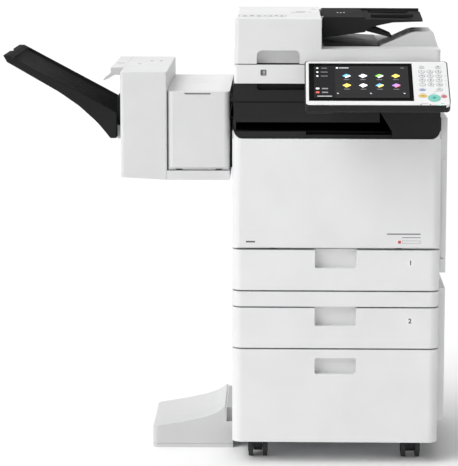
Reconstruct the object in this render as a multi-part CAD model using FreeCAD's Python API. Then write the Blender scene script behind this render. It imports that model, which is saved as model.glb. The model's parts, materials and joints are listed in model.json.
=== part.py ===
import FreeCAD, Part
import os
from math import cos, radians, sin, tan

# Office colour photocopier on a drawer pedestal, with a document feeder on top and a paper finisher on
# the left. Machine coordinates: X to the right from the body's middle, Y back from the body's front face,
# Z up from the floor. Everything is moved at the end so that the origin is the middle of the footprint.

Vector = FreeCAD.Vector
X_AXIS = Vector(1, 0, 0)

# ---- Driving dimensions, in millimetres ----
# Body, seams and front mouldings
BODY_HALF_WIDTH = 248.0
BODY_DEPTH = 505.0
BODY_BOTTOM = 51.0
FRONT_CORNER = 24.0
REAR_CORNER = 6.0
SKIN = 3.0
FRONT_THICKNESS = 28.0
SEAM = 3.5
SEAM_STORAGE = 283.0
SEAM_CASSETTE_2 = 384.5
SEAM_BAND = 424.0
SEAM_CASSETTE_1 = 525.0
UNIT_SPLIT = 404.0
COVER_TOP = 790.0
HORN_TOP = 808.0
SIDE_TOP = 806.0
BAY_HALF_WIDTH = 244.5
BAY_BOTTOM = 792.0
BAY_TOP = 921.0
BAY_CORNER = 22.0

# Frame posts and sheet
POST_X = (216.0, 240.0)
POST_FRONT_Y = (32.0, 52.0)
POST_REAR_Y = (474.0, 494.0)
SHEET = 2.0

# Drawer boxes and finger recesses
DRAWER_HALF_WIDTH = 200.0
DRAWER_BACK = 465.0
DRAWER_WALL = 2.5
RUNNER_GAP = 0.5
RECESS_HALF_WIDTH = 49.5
RECESS_HEIGHT = 43.6
RECESS_DEPTH = 22.0

# Reader
READER_HALF_WIDTH = 242.5
READER_Y = (3.0, 498.0)
READER_Z = (921.3, 965.5)
GLASS_THICKNESS = 4.0
PLATEN_X = (-150.0, 206.0)
PLATEN_Y = (60.0, 280.0)
STRIP_X = (-221.0, -195.0)
GUIDE_ROD_Y = 50.0
GUIDE_ROD_Z = 938.0
GUIDE_ROD_RADIUS = 4.0
RUNNING_CLEARANCE = 0.06

# Document feeder
ADF_HALF_WIDTH = 243.0
ADF_Y = (5.0, 498.0)
ADF_Z = (967.5, 1002.0)
ADF_TOP = 1073.0
ADF_PIVOT = (492.5, 973.0)
FEEDER_X = (-242.0, -37.0)
FEED_COVER_PIVOT = (-236.0, 1060.0)
INPUT_TRAY_PIVOT = (-28.5, 1067.0)
INPUT_TRAY_Y = (100.0, 466.0)
GUIDE_X = (90.0, 180.0)
GUIDE_FOOT_Z = (1066.8, 1068.4)
GUIDE_TOP = 1073.5
FRONT_GUIDE_Y = (174.0, 178.0, 200.0)
REAR_GUIDE_Y = (392.0, 388.0, 366.0)

# Control panel and keys
PANEL_X = (-76.0, 254.5)
PANEL_LENGTH = 175.6
PANEL_TILT = 30.04
PANEL_FRONT_EDGE = (-172.0, 888.4)
PANEL_PIVOT = (-14.0, 958.0)
BEZEL_THICKNESS = 7.0
KEY_LIFT = 0.9
KEY_DEPTH = 5.0
KEY_CLEARANCE = 0.3

# Front cover and right doors
FRONT_COVER_PIVOT = (8.0, 535.0)
DOOR_X = (248.6, 264.0)
DOOR_Y = (40.0, 470.0)
DOOR_PIVOT = (256.3, 462.3)
UPPER_DOOR_Z = (463.5, 836.5)
LOWER_DOOR_Z = (99.0, 425.0)
BYPASS_Z = (497.5, 736.5)
BYPASS_Y = (40.0, 450.0)
BYPASS_PIVOT = (258.15, 503.65)

# Finisher
FINISHER_X = (-514.5, -404.5)
FINISHER_Y = (20.0, 483.0)
FINISHER_TOP = 946.0
FINISHER_BOTTOM = 689.0
STAPLER_X = (-404.5, -254.0)
STAPLER_TOP = 900.0
FINISHER_COVER_PIVOT = (28.0, 719.0)
FINISHER_COVER_X = (-401.5, -254.5)
FLAG_PIVOT = (-534.0, 934.0)
TRAY_Y = (60.0, 400.0)
TRAY_TIP_X = -796.0
TRAY_ROOT_X = -527.0
TRAY_WALL = 4.0
TRAY_DECK_DROP = 11.0
TRAY_RIBS = 9
TRAY_RIB_PITCH = 34.0
FINISHER_COVER_LOW = 712.5
COVER_SLOT_X = (-361.0, -299.0)
COVER_SLOT_Z = (893.5, 896.5)

# Stabiliser, casters and inlet
FOOT_X = (-448.0, -248.6)
FOOT_Y = (150.0, 412.0)
FOOT_BASE = 9.0
CASTER_X = 186.0
CASTER_Y = (62.0, 440.0)
CASTER_TRAIL = 15.0
WHEEL_RADIUS = 25.0
WHEEL_WIDTH = 12.5
CASTER_HALF_WIDTH = 24.0
INLET_X = 185.0
INLET_Z = 455.0
INLET_Y = (485.0, 505.0)

# Covers, frames and shelves
SIDE_COVER_Y = (28.8, 498.2)
REAR_COVER_Y = 498.5
COVER_BACK = 26.0
LOUVRE_X = (-190.0, -60.0)
LOUVRE_LOW = 600.0
LOUVRE_COUNT = 10
LOUVRE_PITCH = 12.0
LOUVRE_HEIGHT = 4.0
INLET_HOLE = (16.0, 12.0)
INNER_PLATE_X = (-236.0, 236.0)
INNER_PLATE_Y = (28.8, 31.4)
INNER_PLATE_Z = (548.0, 786.0)
DOORWAY_Y = (50.0, 450.0)
UPPER_DOORWAY_Z = (471.5, 780.0)
LOWER_DOORWAY_Z = (110.0, 400.0)
PEDESTAL_SHELVES = (BODY_BOTTOM, 278.0, UNIT_SPLIT - 3)
ENGINE_SHELVES = (UNIT_SPLIT, 527.0, 782.0)

# Drawers
RAIL_HEIGHT = 16.0
RUNNER_WIDTH = 9.0
RUNNER_SETBACK = 10.0
STORAGE_BOX_Z = (66.0, 262.0)
LIFT_HEIGHT = 3.0
LIFT_PLATE_X = (-150.0, 160.0)
LIFT_PLATE_Y = (60.0, 300.0)
GUIDE_THICKNESS = 4.0

# Caster stems and cover arms
STEM_LOW = 36.0
STEM_RADIUS = 5.0
ARM_FOOT = 4.0

# Delivery bay
BAY_BACK = 440.0
BAY_LIP_X = -73.0
COLUMN_WALL = 4.0
COLUMN_KNEE_Z = 852.0
RELAY_X = (-244.4, 101.0)
RELAY_DECK_Z = (873.0, 880.0)
RELAY_GRIP_X = (-190.0, 60.0)
ROLLER_RADIUS = 7.0

# Control panel rim and caster wheels
BEZEL_INSET = 1.0
HOUSING_RIM = 1.5
AXLE_RADIUS = 4.0
HUB_CAP = 1.2
HUB_CAP_RADIUS = 14.0

# Heights and places that several pieces share
RUNNER_Z = {"storage": 160.0, "cassette_2": 330.0, "cassette_1": 470.0}
UPPER_LUGS = ((500.0, 510.0), (790.0, 800.0))
LOWER_LUGS = ((130.0, 140.0), (385.0, 395.0))
CASSETTE_1_Z = (SEAM_BAND + SEAM / 2, SEAM_CASSETTE_1 - SEAM / 2)
CASSETTE_2_Z = (SEAM_STORAGE + SEAM / 2, SEAM_CASSETTE_2 - SEAM / 2)
STORAGE_Z = (BODY_BOTTOM + 2, SEAM_STORAGE - SEAM / 2)
STORAGE_RECESS_Z = (221.0, 260.4)
ARM_HALF_WIDTH = 7.0
ARM_RADIUS = 4.2
ARM_PIN_RADIUS = 2.0
ARM_PIN_REACH = 10.0
FRONT_COVER_ARM_X = (-150.0, 150.0)
TONER_X = (-150.0, -70.0, 10.0, 90.0)
TONER_Z = 728.0
TONER_RADIUS = 29.0
TONER_BODY_Y = (36.0, 420.0)
TONER_CAP_FRONT = 27.5
COLUMN_FOOT_X = 130.0
COLUMN_TOP_X = 103.0
RELAY_Z = (829.0, 920.0)
ARM_X = ((20.0, 36.0), (164.0, 180.0))
ADF_LUG_X = 180.0
FEED_COVER_SPACE_Y = (40.0, 490.0)
FEED_COVER_RIM_Z = 1053.6
TRAY_LUG_Y = ((130.0, 140.0), (426.0, 436.0))
GLASS_X = (-68.0, 172.5)
GLASS_V = (16.5, 167.0)
DIGIT_X = (194.5, 214.0, 233.4)
DIGIT_V = (133.5, 116.3, 99.0, 81.8)
DIGIT_RADIUS = 6.5
KEYS = {
    "settings_key": ("oval", 195.2, 152.5, 11.0, 8.0),
    "energy_saver_key": ("oval", 233.1, 152.7, 11.0, 8.0),
    "id_key": ("oval", 193.2, 61.0, 14.0, 8.5),
    "clear_key": ("round", 233.0, 61.7, 12.0, 12.0),
    "reset_key": ("oval", 193.0, 36.9, 19.2, 12.0),
    "start_key": ("round", 219.1, 28.5, 27.7, 27.7),
    "stop_key": ("round", 241.6, 34.9, 11.6, 11.6),
}
DIGIT_NAMES = ("1", "2", "3", "4", "5", "6", "7", "8", "9", "star", "0", "hash")
for index, digit in enumerate(DIGIT_NAMES):
    KEYS["key_" + digit] = (
        "round", DIGIT_X[index % 3], DIGIT_V[index // 3], 2 * DIGIT_RADIUS, 2 * DIGIT_RADIUS,
    )
BYPASS_LUG_Y = ((104.0, 116.0), (374.0, 386.0))
GROOVE_Y = ((120.0, 132.0), (330.0, 342.0))
FLAG_LUG_Y = ((160.0, 166.0), (214.0, 220.0))
FINISHER_ARM_X = (-375.0, -280.0)
TRAY_RIM_X = -783.0
TRAY_RIM_Z = (982.0, 845.0)
CASTER_NAMES = ("front_left", "front_right", "rear_left", "rear_right")


# ---- Geometry helpers ----
def block(x, y, z):
    """A block from three (low, high) pairs."""
    return Part.makeBox(x[1] - x[0], y[1] - y[0], z[1] - z[0], Vector(x[0], y[0], z[0]))


def rod(start, end, radius):
    """A round rod between two points."""
    along = end - start
    return Part.makeCylinder(radius, along.Length, start, along)


def rod_x(x, y, z, radius):
    return rod(Vector(x[0], y, z), Vector(x[1], y, z), radius)


def rod_y(x, y, z, radius):
    return rod(Vector(x, y[0], z), Vector(x, y[1], z), radius)


def rod_z(x, y, z, radius):
    return rod(Vector(x, y, z[0]), Vector(x, y, z[1]), radius)


def closed_wire(corners, place):
    """A closed outline; a corner is (u, v) or (u, v, radius) and place maps (u, v) to a point."""
    starts = []
    edges = []
    count = len(corners)
    for index in range(count):
        here = Vector(corners[index][0], corners[index][1], 0)
        before = Vector(corners[index - 1][0], corners[index - 1][1], 0)
        after = Vector(corners[(index + 1) % count][0], corners[(index + 1) % count][1], 0)
        radius = corners[index][2] if len(corners[index]) == 3 else 0
        if radius == 0:
            starts.append((here, here))
            continue
        to_before = (before - here).normalize()
        to_after = (after - here).normalize()
        half_angle = to_before.getAngle(to_after) / 2
        reach = radius / tan(half_angle)
        middle = here + (to_before + to_after).normalize() * (radius / sin(half_angle) - radius)
        bend = (here + to_before * reach, middle, here + to_after * reach)
        edges.append((index, Part.Arc(*[place(point.x, point.y) for point in bend]).toShape()))
        starts.append((here + to_before * reach, here + to_after * reach))
    arcs = dict(edges)
    pieces = []
    for index in range(count):
        if index in arcs:
            pieces.append(arcs[index])
        end = starts[index][1]
        following = starts[(index + 1) % count][0]
        if (following - end).Length > 1e-6:
            pieces.append(Part.makeLine(place(end.x, end.y), place(following.x, following.y)))
    return Part.Wire(Part.__sortEdges__(pieces))


def prism(plane, corners, low, high):
    """An outline in the XY, XZ or YZ plane, extruded along the third axis from low to high."""
    places = {
        "XY": (lambda u, v: Vector(u, v, low), Vector(0, 0, high - low)),
        "XZ": (lambda u, v: Vector(u, low, v), Vector(0, high - low, 0)),
        "YZ": (lambda u, v: Vector(low, u, v), Vector(high - low, 0, 0)),
    }
    place, extent = places[plane]
    return Part.Face(closed_wire(corners, place)).extrude(extent)


def rounded(plane, u, v, along, radius):
    """A block with the four edges perpendicular to the plane rounded."""
    corners = [(u[0], v[0], radius), (u[1], v[0], radius), (u[1], v[1], radius), (u[0], v[1], radius)]
    return prism(plane, corners, along[0], along[1])


def join(*shapes):
    return shapes[0].multiFuse(list(shapes[1:])).removeSplitter()


def cut(shape, *tools):
    return shape.cut(list(tools)).removeSplitter()


def group(*shapes):
    """Several separate solids in one node."""
    solids = []
    for shape in shapes:
        solids.extend(shape.Solids)
    return Part.makeCompound(solids)


def both_sides(make):
    """The left and right copies of a shape that is written for the right side."""
    right = make()
    return [right, right.mirror(Vector(0, 0, 0), X_AXIS)]


def inset(span, amount):
    return (span[0] + amount, span[1] - amount)


# ---- Chassis ----
def posts(z):
    result = []
    for y in (POST_FRONT_Y, POST_REAR_Y):
        result += both_sides(lambda: block(POST_X, y, z))
    return result


def shelf(z):
    return block((-POST_X[1], POST_X[1]), (POST_FRONT_Y[0], POST_REAR_Y[1]), (z, z + SHEET))


def runner_rails(z):
    """The angle rails on both sides that carry a drawer's runners."""
    y = (POST_FRONT_Y[0], POST_REAR_Y[1])
    feet = both_sides(lambda: block((DRAWER_HALF_WIDTH + 1, POST_X[0]), y, (z - SHEET, z)))
    webs = both_sides(lambda: block((POST_X[0] - SHEET, POST_X[0]), y, (z, z + RAIL_HEIGHT)))
    return feet + webs


def storeys(levels):
    """Shelves at several levels, and the posts that stand between them."""
    result = [shelf(levels[-1])]
    for low, high in zip(levels, levels[1:]):
        result.append(shelf(low))
        result += posts((low + SHEET, high))
    return result


def chassis():
    """The frames of both units: plain plates, posts and rails, with the caster stems and cover arms."""
    stems = [
        rod_z(side * CASTER_X, y, (STEM_LOW, BODY_BOTTOM), STEM_RADIUS)
        for side in (-1, 1)
        for y in CASTER_Y
    ]
    arms = cover_arms(FRONT_COVER_ARM_X, FRONT_COVER_PIVOT, POST_FRONT_Y[0] + ARM_FOOT)
    arm_low = FRONT_COVER_PIVOT[1] - ARM_RADIUS
    brackets = []
    for x, arm in zip(FRONT_COVER_ARM_X, arms):
        y = (POST_FRONT_Y[0], POST_FRONT_Y[0] + ARM_FOOT)
        foot = block((x - ARM_HALF_WIDTH, x + ARM_HALF_WIDTH), y, (ENGINE_SHELVES[1] + SHEET, arm_low))
        brackets.append(join(arm, foot))
    rails = [rail for z in RUNNER_Z.values() for rail in runner_rails(z)]
    return group(*storeys(PEDESTAL_SHELVES), *storeys(ENGINE_SHELVES), *rails, *stems, *brackets)


# ---- Covers ----
def rear_cover(z):
    rim = BODY_HALF_WIDTH
    shell = prism("XY", [
        (-rim, REAR_COVER_Y), (rim, REAR_COVER_Y),
        (rim, BODY_DEPTH, REAR_CORNER), (-rim, BODY_DEPTH, REAR_CORNER),
    ], z[0], z[1])
    return cut(shell, block((-rim + SKIN, rim - SKIN), (REAR_COVER_Y - 1, BODY_DEPTH - SKIN), z))


def side_cover(z):
    return block((BODY_HALF_WIDTH - SKIN, BODY_HALF_WIDTH), SIDE_COVER_Y, z)


def doorway_cover(z, doorway_z):
    """The right side cover, as four plates round its doorway."""
    x = (BODY_HALF_WIDTH - SKIN, BODY_HALF_WIDTH)
    front, back = SIDE_COVER_Y
    return [
        block(x, SIDE_COVER_Y, (z[0], doorway_z[0])),
        block(x, SIDE_COVER_Y, (doorway_z[1], z[1])),
        block(x, (front, DOORWAY_Y[0]), doorway_z),
        block(x, (DOORWAY_Y[1], back), doorway_z),
    ]


def mirrored(shape):
    return shape.mirror(Vector(0, 0, 0), X_AXIS)


def door_lug(z):
    """A hinge lug on the right side with its pin standing up and down into the door."""
    x, y = DOOR_PIVOT
    tab = join(rod_z(x, y, z, 6.5), block((BODY_HALF_WIDTH, x), (y - 6.5, y + 6.5), z))
    return join(tab, rod_z(x, y, (z[0] - 8, z[1] + 8), 2.5))


def engine_covers():
    rear = rear_cover((UNIT_SPLIT + 0.5, SIDE_TOP))
    through = (REAR_COVER_Y - 1, BODY_DEPTH + 1)
    hole_x = inset((INLET_X, INLET_X), -INLET_HOLE[0])
    hole_z = inset((INLET_Z, INLET_Z), -INLET_HOLE[1])
    louvres = []
    for row in range(LOUVRE_COUNT):
        low = LOUVRE_LOW + LOUVRE_PITCH * row
        louvres.append(block(LOUVRE_X, through, (low, low + LOUVRE_HEIGHT)))
    rear = cut(rear, block(hole_x, through, hole_z), *louvres)
    inner = block(INNER_PLATE_X, INNER_PLATE_Y, INNER_PLATE_Z)
    holes = [rod_y(x, inset(INNER_PLATE_Y, -1), TONER_Z, TONER_RADIUS + 2) for x in TONER_X]
    inner = cut(inner, *holes)
    return group(
        mirrored(side_cover((UNIT_SPLIT + 0.5, SIDE_TOP))),
        *doorway_cover((UNIT_SPLIT + 0.5, SIDE_TOP), UPPER_DOORWAY_Z),
        *[door_lug(z) for z in UPPER_LUGS],
        rear,
        inner,
    )


def pedestal_covers():
    low = SEAM_CASSETTE_2 + SEAM / 2
    high = SEAM_BAND - SEAM / 2
    return group(
        mirrored(side_cover((BODY_BOTTOM + 2, UNIT_SPLIT - 0.5))),
        *doorway_cover((BODY_BOTTOM + 2, UNIT_SPLIT - 0.5), LOWER_DOORWAY_Z),
        *[door_lug(z) for z in LOWER_LUGS],
        rear_cover((BODY_BOTTOM + 2, UNIT_SPLIT - 0.5)),
        front_shell((low, high)),
    )


# ---- Drawer and cassette fronts ----
def front_outline(inset_by, radius, back=FRONT_THICKNESS):
    half = BODY_HALF_WIDTH - inset_by
    return [(-half, inset_by, radius), (half, inset_by, radius), (half, back), (-half, back)]


def front_shell(z):
    """A full-width front moulding with rounded vertical corners, hollow from behind."""
    outer = prism("XY", front_outline(0, FRONT_CORNER), z[0], z[1])
    hollow = prism("XY", front_outline(SKIN, FRONT_CORNER - SKIN), z[0] + SKIN, z[1] - SKIN)
    return cut(outer, hollow)


def recessed_front(z, recess_z, corner):
    """A front moulding with a finger recess let into it."""
    wall = SKIN
    half = RECESS_HALF_WIDTH
    top = min(recess_z[1] + wall, z[1])
    pocket = block((-half - wall, half + wall), (0, RECESS_DEPTH + wall), (recess_z[0] - wall, top))
    corners = [
        (-half, recess_z[0], corner),
        (half, recess_z[0], corner),
        (half, recess_z[1], corner if recess_z[1] < z[1] else 0),
        (-half, recess_z[1], corner if recess_z[1] < z[1] else 0),
    ]
    opening = prism("XZ", corners, -1, RECESS_DEPTH)
    return cut(join(front_shell(z), pocket), opening)


def cassette_front(z):
    return recessed_front(z, (z[1] - RECESS_HEIGHT, z[1]), 4.0)


# ---- Drawer boxes ----
def open_box(z, runner_z):
    """The plates of an open-topped box behind a front moulding, and a runner along each side."""
    half = DRAWER_HALF_WIDTH
    y = (FRONT_THICKNESS, DRAWER_BACK)
    floor_z = (z[0], z[0] + DRAWER_WALL)
    wall_z = (floor_z[1], z[1])
    runner_x = (half, half + RUNNER_WIDTH)
    runner_heights = (runner_z + RUNNER_GAP, runner_z + RUNNER_WIDTH)
    return [
        block((-half, half), y, floor_z),
        block((-half, half), (y[0], y[0] + DRAWER_WALL), wall_z),
        block((-half, half), (y[1] - DRAWER_WALL, y[1]), wall_z),
        *both_sides(lambda: block((half - DRAWER_WALL, half), inset(y, DRAWER_WALL), wall_z)),
        *both_sides(lambda: block(runner_x, (y[0] + RUNNER_SETBACK, y[1]), runner_heights)),
    ]


def cassette_tray(z, runner_z):
    """A paper cassette: open box, lift plate, two side guides and an end guide."""
    floor = z[0] + DRAWER_WALL
    guide_top = z[1] - 8
    foot_z = (floor, floor + LIFT_HEIGHT)
    plate_z = (foot_z[1], foot_z[1] + SHEET)
    tab_z = (plate_z[1], plate_z[1] + LIFT_HEIGHT)
    return group(
        *open_box(z, runner_z),
        *[block((x, x + 12), (150, 210), foot_z) for x in (-140, 130)],
        block(LIFT_PLATE_X, LIFT_PLATE_Y, plate_z),
        block((-60, 60), (70 - GUIDE_THICKNESS, 70), (plate_z[1], guide_top)),
        block((-20, 20), (61, 66), tab_z),
        block((-60, 60), (290, 290 + GUIDE_THICKNESS), (plate_z[1], guide_top)),
        block((-20, 20), (294, 299), tab_z),
        block((163, 163 + GUIDE_THICKNESS), (150, 210), (floor, guide_top)),
        block((167, 190), (170, 190), (floor, floor + 6)),
    )


def storage_box():
    return group(*open_box(STORAGE_BOX_Z, RUNNER_Z["storage"]))


# ---- Front cover and engine internals ----
def front_cover():
    y, z = FRONT_COVER_PIVOT
    low = SEAM_CASSETTE_1 + 2.0
    half = BODY_HALF_WIDTH
    outer = prism("XY", front_outline(0, FRONT_CORNER, COVER_BACK), low, HORN_TOP)
    hollow = prism("XY", front_outline(SKIN, FRONT_CORNER - SKIN), low + 18, COVER_TOP - SKIN)
    hollow = cut(hollow, block((-half, half), (COVER_BACK - SKIN, FRONT_THICKNESS + 1), (low, COVER_TOP)))
    notch = BAY_HALF_WIDTH + 0.4
    above = HORN_TOP + 1
    top_cut = prism("XZ", [
        (-notch, COVER_TOP, BAY_CORNER), (notch, COVER_TOP, BAY_CORNER), (notch, above), (-notch, above),
    ], -1, COVER_BACK + 1)
    horn_back = block((-half - 1, half + 1), (12, COVER_BACK + 1), (COVER_TOP, above))
    toe = cut(block((-half - 1, half + 1), (-1, y), (low - 1, z)), rod_x((-half - 1, half + 1), y, z, y))
    window = block((-200, 200), (20, 30), (570, 760))
    arms = arm_clearances(FRONT_COVER_ARM_X, FRONT_COVER_PIVOT, SKIN + 0.5, low)
    return cut(outer, hollow, top_cut, horn_back, toe, window, *arms)


def cover_arms(centres, pivot, root_y):
    """Arms reaching forward to a bottom-hinged cover, each with its hinge pin through the end."""
    y, z = pivot
    arms = []
    for centre in centres:
        x = (centre - ARM_HALF_WIDTH, centre + ARM_HALF_WIDTH)
        arm = join(rod_x(x, y, z, ARM_RADIUS), block(x, (y, root_y), (z - ARM_RADIUS, z)))
        arms.append(join(arm, rod_x(inset(x, -ARM_PIN_REACH), y, z, ARM_PIN_RADIUS)))
    return arms


def arm_clearances(centres, pivot, skin_y, low):
    """Tools that clear a cover's inside for the arms and drill it for the pins."""
    y, z = pivot
    tools = []
    for centre in centres:
        half = ARM_HALF_WIDTH + 0.6
        x = (centre - half, centre + half)
        tools.append(block(x, (skin_y, y + 30), (low - 1, z + 11)))
        pin = inset(x, -ARM_PIN_REACH)
        tools.append(rod_x(pin, y, z, ARM_PIN_RADIUS + RUNNING_CLEARANCE))
    return tools


def toner_cartridges():
    cartridges = []
    for x in TONER_X:
        body = rod_y(x, TONER_BODY_Y, TONER_Z, TONER_RADIUS)
        cap = rod_y(x, (TONER_CAP_FRONT, TONER_BODY_Y[0]), TONER_Z, TONER_RADIUS - 3)
        grip_y = (TONER_CAP_FRONT - 0.7, TONER_CAP_FRONT)
        grip = block((x - 3, x + 3), grip_y, (TONER_Z - 18, TONER_Z + 18))
        cartridges.append(join(body, cap, grip))
    return group(*cartridges)


def print_engine_modules():
    laser = rounded("XZ", (-180, 150), (534, 566), (80, 430), 8)
    drums = []
    for x in (-135, -50, 35, 120):
        casing = prism("XZ", [(x - 32, 574), (x + 32, 574), (x + 32, 596, 6), (x - 32, 596, 6)], 70, 430)
        drum = rod_y(x, (60, 440), 611, 15)
        drums += [casing, drum]
    belt = rounded("XZ", (-180, 165), (632, 664), (70, 430), 15.9)
    fuser = rounded("XZ", (150, 212), (690, 770), (70, 440), 12)
    registration = rod_y(195, (60, 440), 590, 9)
    return group(laser, *drums, belt, fuser, registration)


# ---- Delivery bay ----
def bay_envelope(y):
    half = BAY_HALF_WIDTH
    return prism("XZ", [
        (-half, BAY_BOTTOM, BAY_CORNER), (half, BAY_BOTTOM, BAY_CORNER), (half, BAY_TOP), (-half, BAY_TOP),
    ], y[0], y[1])


def bay_floor():
    """The tray that delivered sheets fall on, with its lip at the front and the wall on its left."""
    half = BAY_HALF_WIDTH
    pieces = [
        block((-half, BAY_LIP_X), (40, BAY_BACK), (BAY_BOTTOM, 799)),
        block((BAY_LIP_X, COLUMN_FOOT_X), (8, BAY_BACK), (BAY_BOTTOM, 799)),
        block((-half, BAY_LIP_X), (6, 40), (BAY_BOTTOM, 807)),
        prism("XZ", [(-240, 799), (COLUMN_FOOT_X, 799), (COLUMN_FOOT_X, 801), (-240, 806)], 60, 420),
        block((-half, -240), (40, BAY_BACK), (799, RELAY_Z[0] - 0.5)),
    ]
    envelope = bay_envelope((0, BODY_DEPTH))
    return [piece.common(envelope) for piece in pieces]


def bay_column():
    """The hollow column on the right of the bay, with its slanted inner side."""
    foot, top, half = COLUMN_FOOT_X, COLUMN_TOP_X, BAY_HALF_WIDTH
    outline = [
        (foot + 0.3, BAY_BOTTOM), (half, BAY_BOTTOM, BAY_CORNER), (half, BAY_TOP - 1),
        (top, BAY_TOP - 1), (top, COLUMN_KNEE_Z), (foot + 0.3, 808),
    ]
    wall = COLUMN_WALL
    inner = [
        (foot + wall, BAY_BOTTOM + wall), (half - wall, BAY_BOTTOM + wall, BAY_CORNER - wall),
        (half - wall, BAY_TOP - 5), (top + wall, BAY_TOP - 5),
        (top + wall, COLUMN_KNEE_Z + 1), (foot + wall, 809),
    ]
    return cut(prism("XZ", outline, wall, BAY_BACK), prism("XZ", inner, 2 * wall, BAY_BACK + 1))


def relay_unit():
    """The paper path over the bay: three decks between a right and a back wall, and a front with a grip."""
    wall = COLUMN_WALL
    x = RELAY_X
    y = (8, BAY_BACK)
    z = RELAY_Z
    inner_x = (x[0], x[1] - wall)
    inner_y = (y[0] + wall, y[1] - wall)
    inner_z = (z[0] + wall, z[1] - wall)
    front = block(inner_x, (y[0], inner_y[0]), inner_z)
    top = block((x[0], x[1]), y, (inner_z[1], z[1]))
    grip_wall = block((-193, 63), (12, 29), (902, inner_z[1]))
    grip = rounded("XZ", RELAY_GRIP_X, (905, 940), (5, 26), 8)
    groove = block((x[0] - 7, x[1] + 9), (5, 11), (875.5, 878.5))
    return [
        block(x, y, (z[0], inner_z[0])),
        block(inner_x, inner_y, RELAY_DECK_Z),
        block((inner_x[1], x[1]), y, inner_z),
        block(inner_x, (inner_y[1], y[1]), inner_z),
        cut(join(front, top, grip_wall), grip, groove),
    ]


def bay_back():
    """The plates of the closed box behind the bay."""
    half = BAY_HALF_WIDTH
    wall = COLUMN_WALL
    y = (BAY_BACK + 0.3, READER_Y[1])
    z = (BAY_BOTTOM, BAY_TOP - 1)
    inner_z = inset(z, wall)
    envelope = bay_envelope((0, BODY_DEPTH))
    pieces = [
        block((-half, half), y, (z[0], inner_z[0])),
        block((-half, half), y, (inner_z[1], z[1])),
        block((-half, half), (y[0], y[0] + wall), inner_z),
        block((-half, half), (y[1] - wall, y[1]), inner_z),
        *both_sides(lambda: block((half - wall, half), inset(y, wall), inner_z)),
    ]
    return [piece.common(envelope) for piece in pieces]


def delivery_bay():
    rollers = [rod_y(x, (12, 436), 853, ROLLER_RADIUS) for x in (-210, -120, -30, 60)]
    ducts = [block((-253.8, RELAY_X[0]), (60, 430), z) for z in ((833, 836), (870, 873))]
    return group(*bay_floor(), bay_column(), *relay_unit(), *bay_back(), *rollers, *ducts)


# ---- Reader ----
def reader_housing():
    x = (-READER_HALF_WIDTH, READER_HALF_WIDTH)
    shell = rounded("XY", x, READER_Y, READER_Z, 8)
    cavity = block(inset(x, 5), (30, 330), (926, 957.5))
    rear_cavity = block(inset(x, 5), (340, 485), (926, 957.5))
    vent = block((-100, 100), (480, 500), (930, 934))
    z_top = READER_Z[1]
    recess_z = (z_top - GLASS_THICKNESS - 0.1, z_top + 1)
    cuts = [cavity, rear_cavity, vent]
    for glass_x in (PLATEN_X, STRIP_X):
        cuts.append(block(inset(glass_x, -0.2), inset(PLATEN_Y, -0.2), recess_z))
        cuts.append(block(inset(glass_x, 5), inset(PLATEN_Y, 5), (950, z_top)))
    housing = cut(shell, *cuts)
    lugs = []
    for lug_x in ARM_X:
        y, z = PANEL_PIVOT
        lug = join(rod_x(lug_x, y, z, 6.5), block(lug_x, (y, READER_Y[0]), (z - 6.5, z + 6.5)))
        lugs.append(join(lug, rod_x(inset(lug_x, -9), y, z, 3.0)))
    y, z = ADF_PIVOT
    for side in (-1, 1):
        centre = side * ADF_LUG_X
        lug_x = (centre - 10, centre + 10)
        lug = join(rod_x(lug_x, y, z, 5.2), block(lug_x, (y - 5.2, y + 5.2), (z_top, z)))
        lugs.append(join(lug, rod_x(inset(lug_x, -9), y, z, 2.5)))
    guide = rod_x(inset(x, 5), GUIDE_ROD_Y, GUIDE_ROD_Z, GUIDE_ROD_RADIUS)
    support = block(inset(x, 5), (318, 330), (926, 931))
    return group(join(housing, *lugs), guide, support)


def platen_glass():
    z = (READER_Z[1] - GLASS_THICKNESS, READER_Z[1])
    return group(block(PLATEN_X, PLATEN_Y, z), block(STRIP_X, PLATEN_Y, z))


def scan_carriage():
    body = block((-224, -190), (40, 314), (931.5, 952))
    bore = rod_x((-230, -180), GUIDE_ROD_Y, GUIDE_ROD_Z, GUIDE_ROD_RADIUS + RUNNING_CLEARANCE)
    lamp = rounded("XZ", (-216, -209), (952, 956), (58, 300), 1.2)
    slot = block((-205, -200), (60, 290), (940, 960))
    foot = block((-216, -198), (314, 326), (931.5, 940))
    return group(join(cut(body, bore, slot), foot), lamp)


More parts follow.
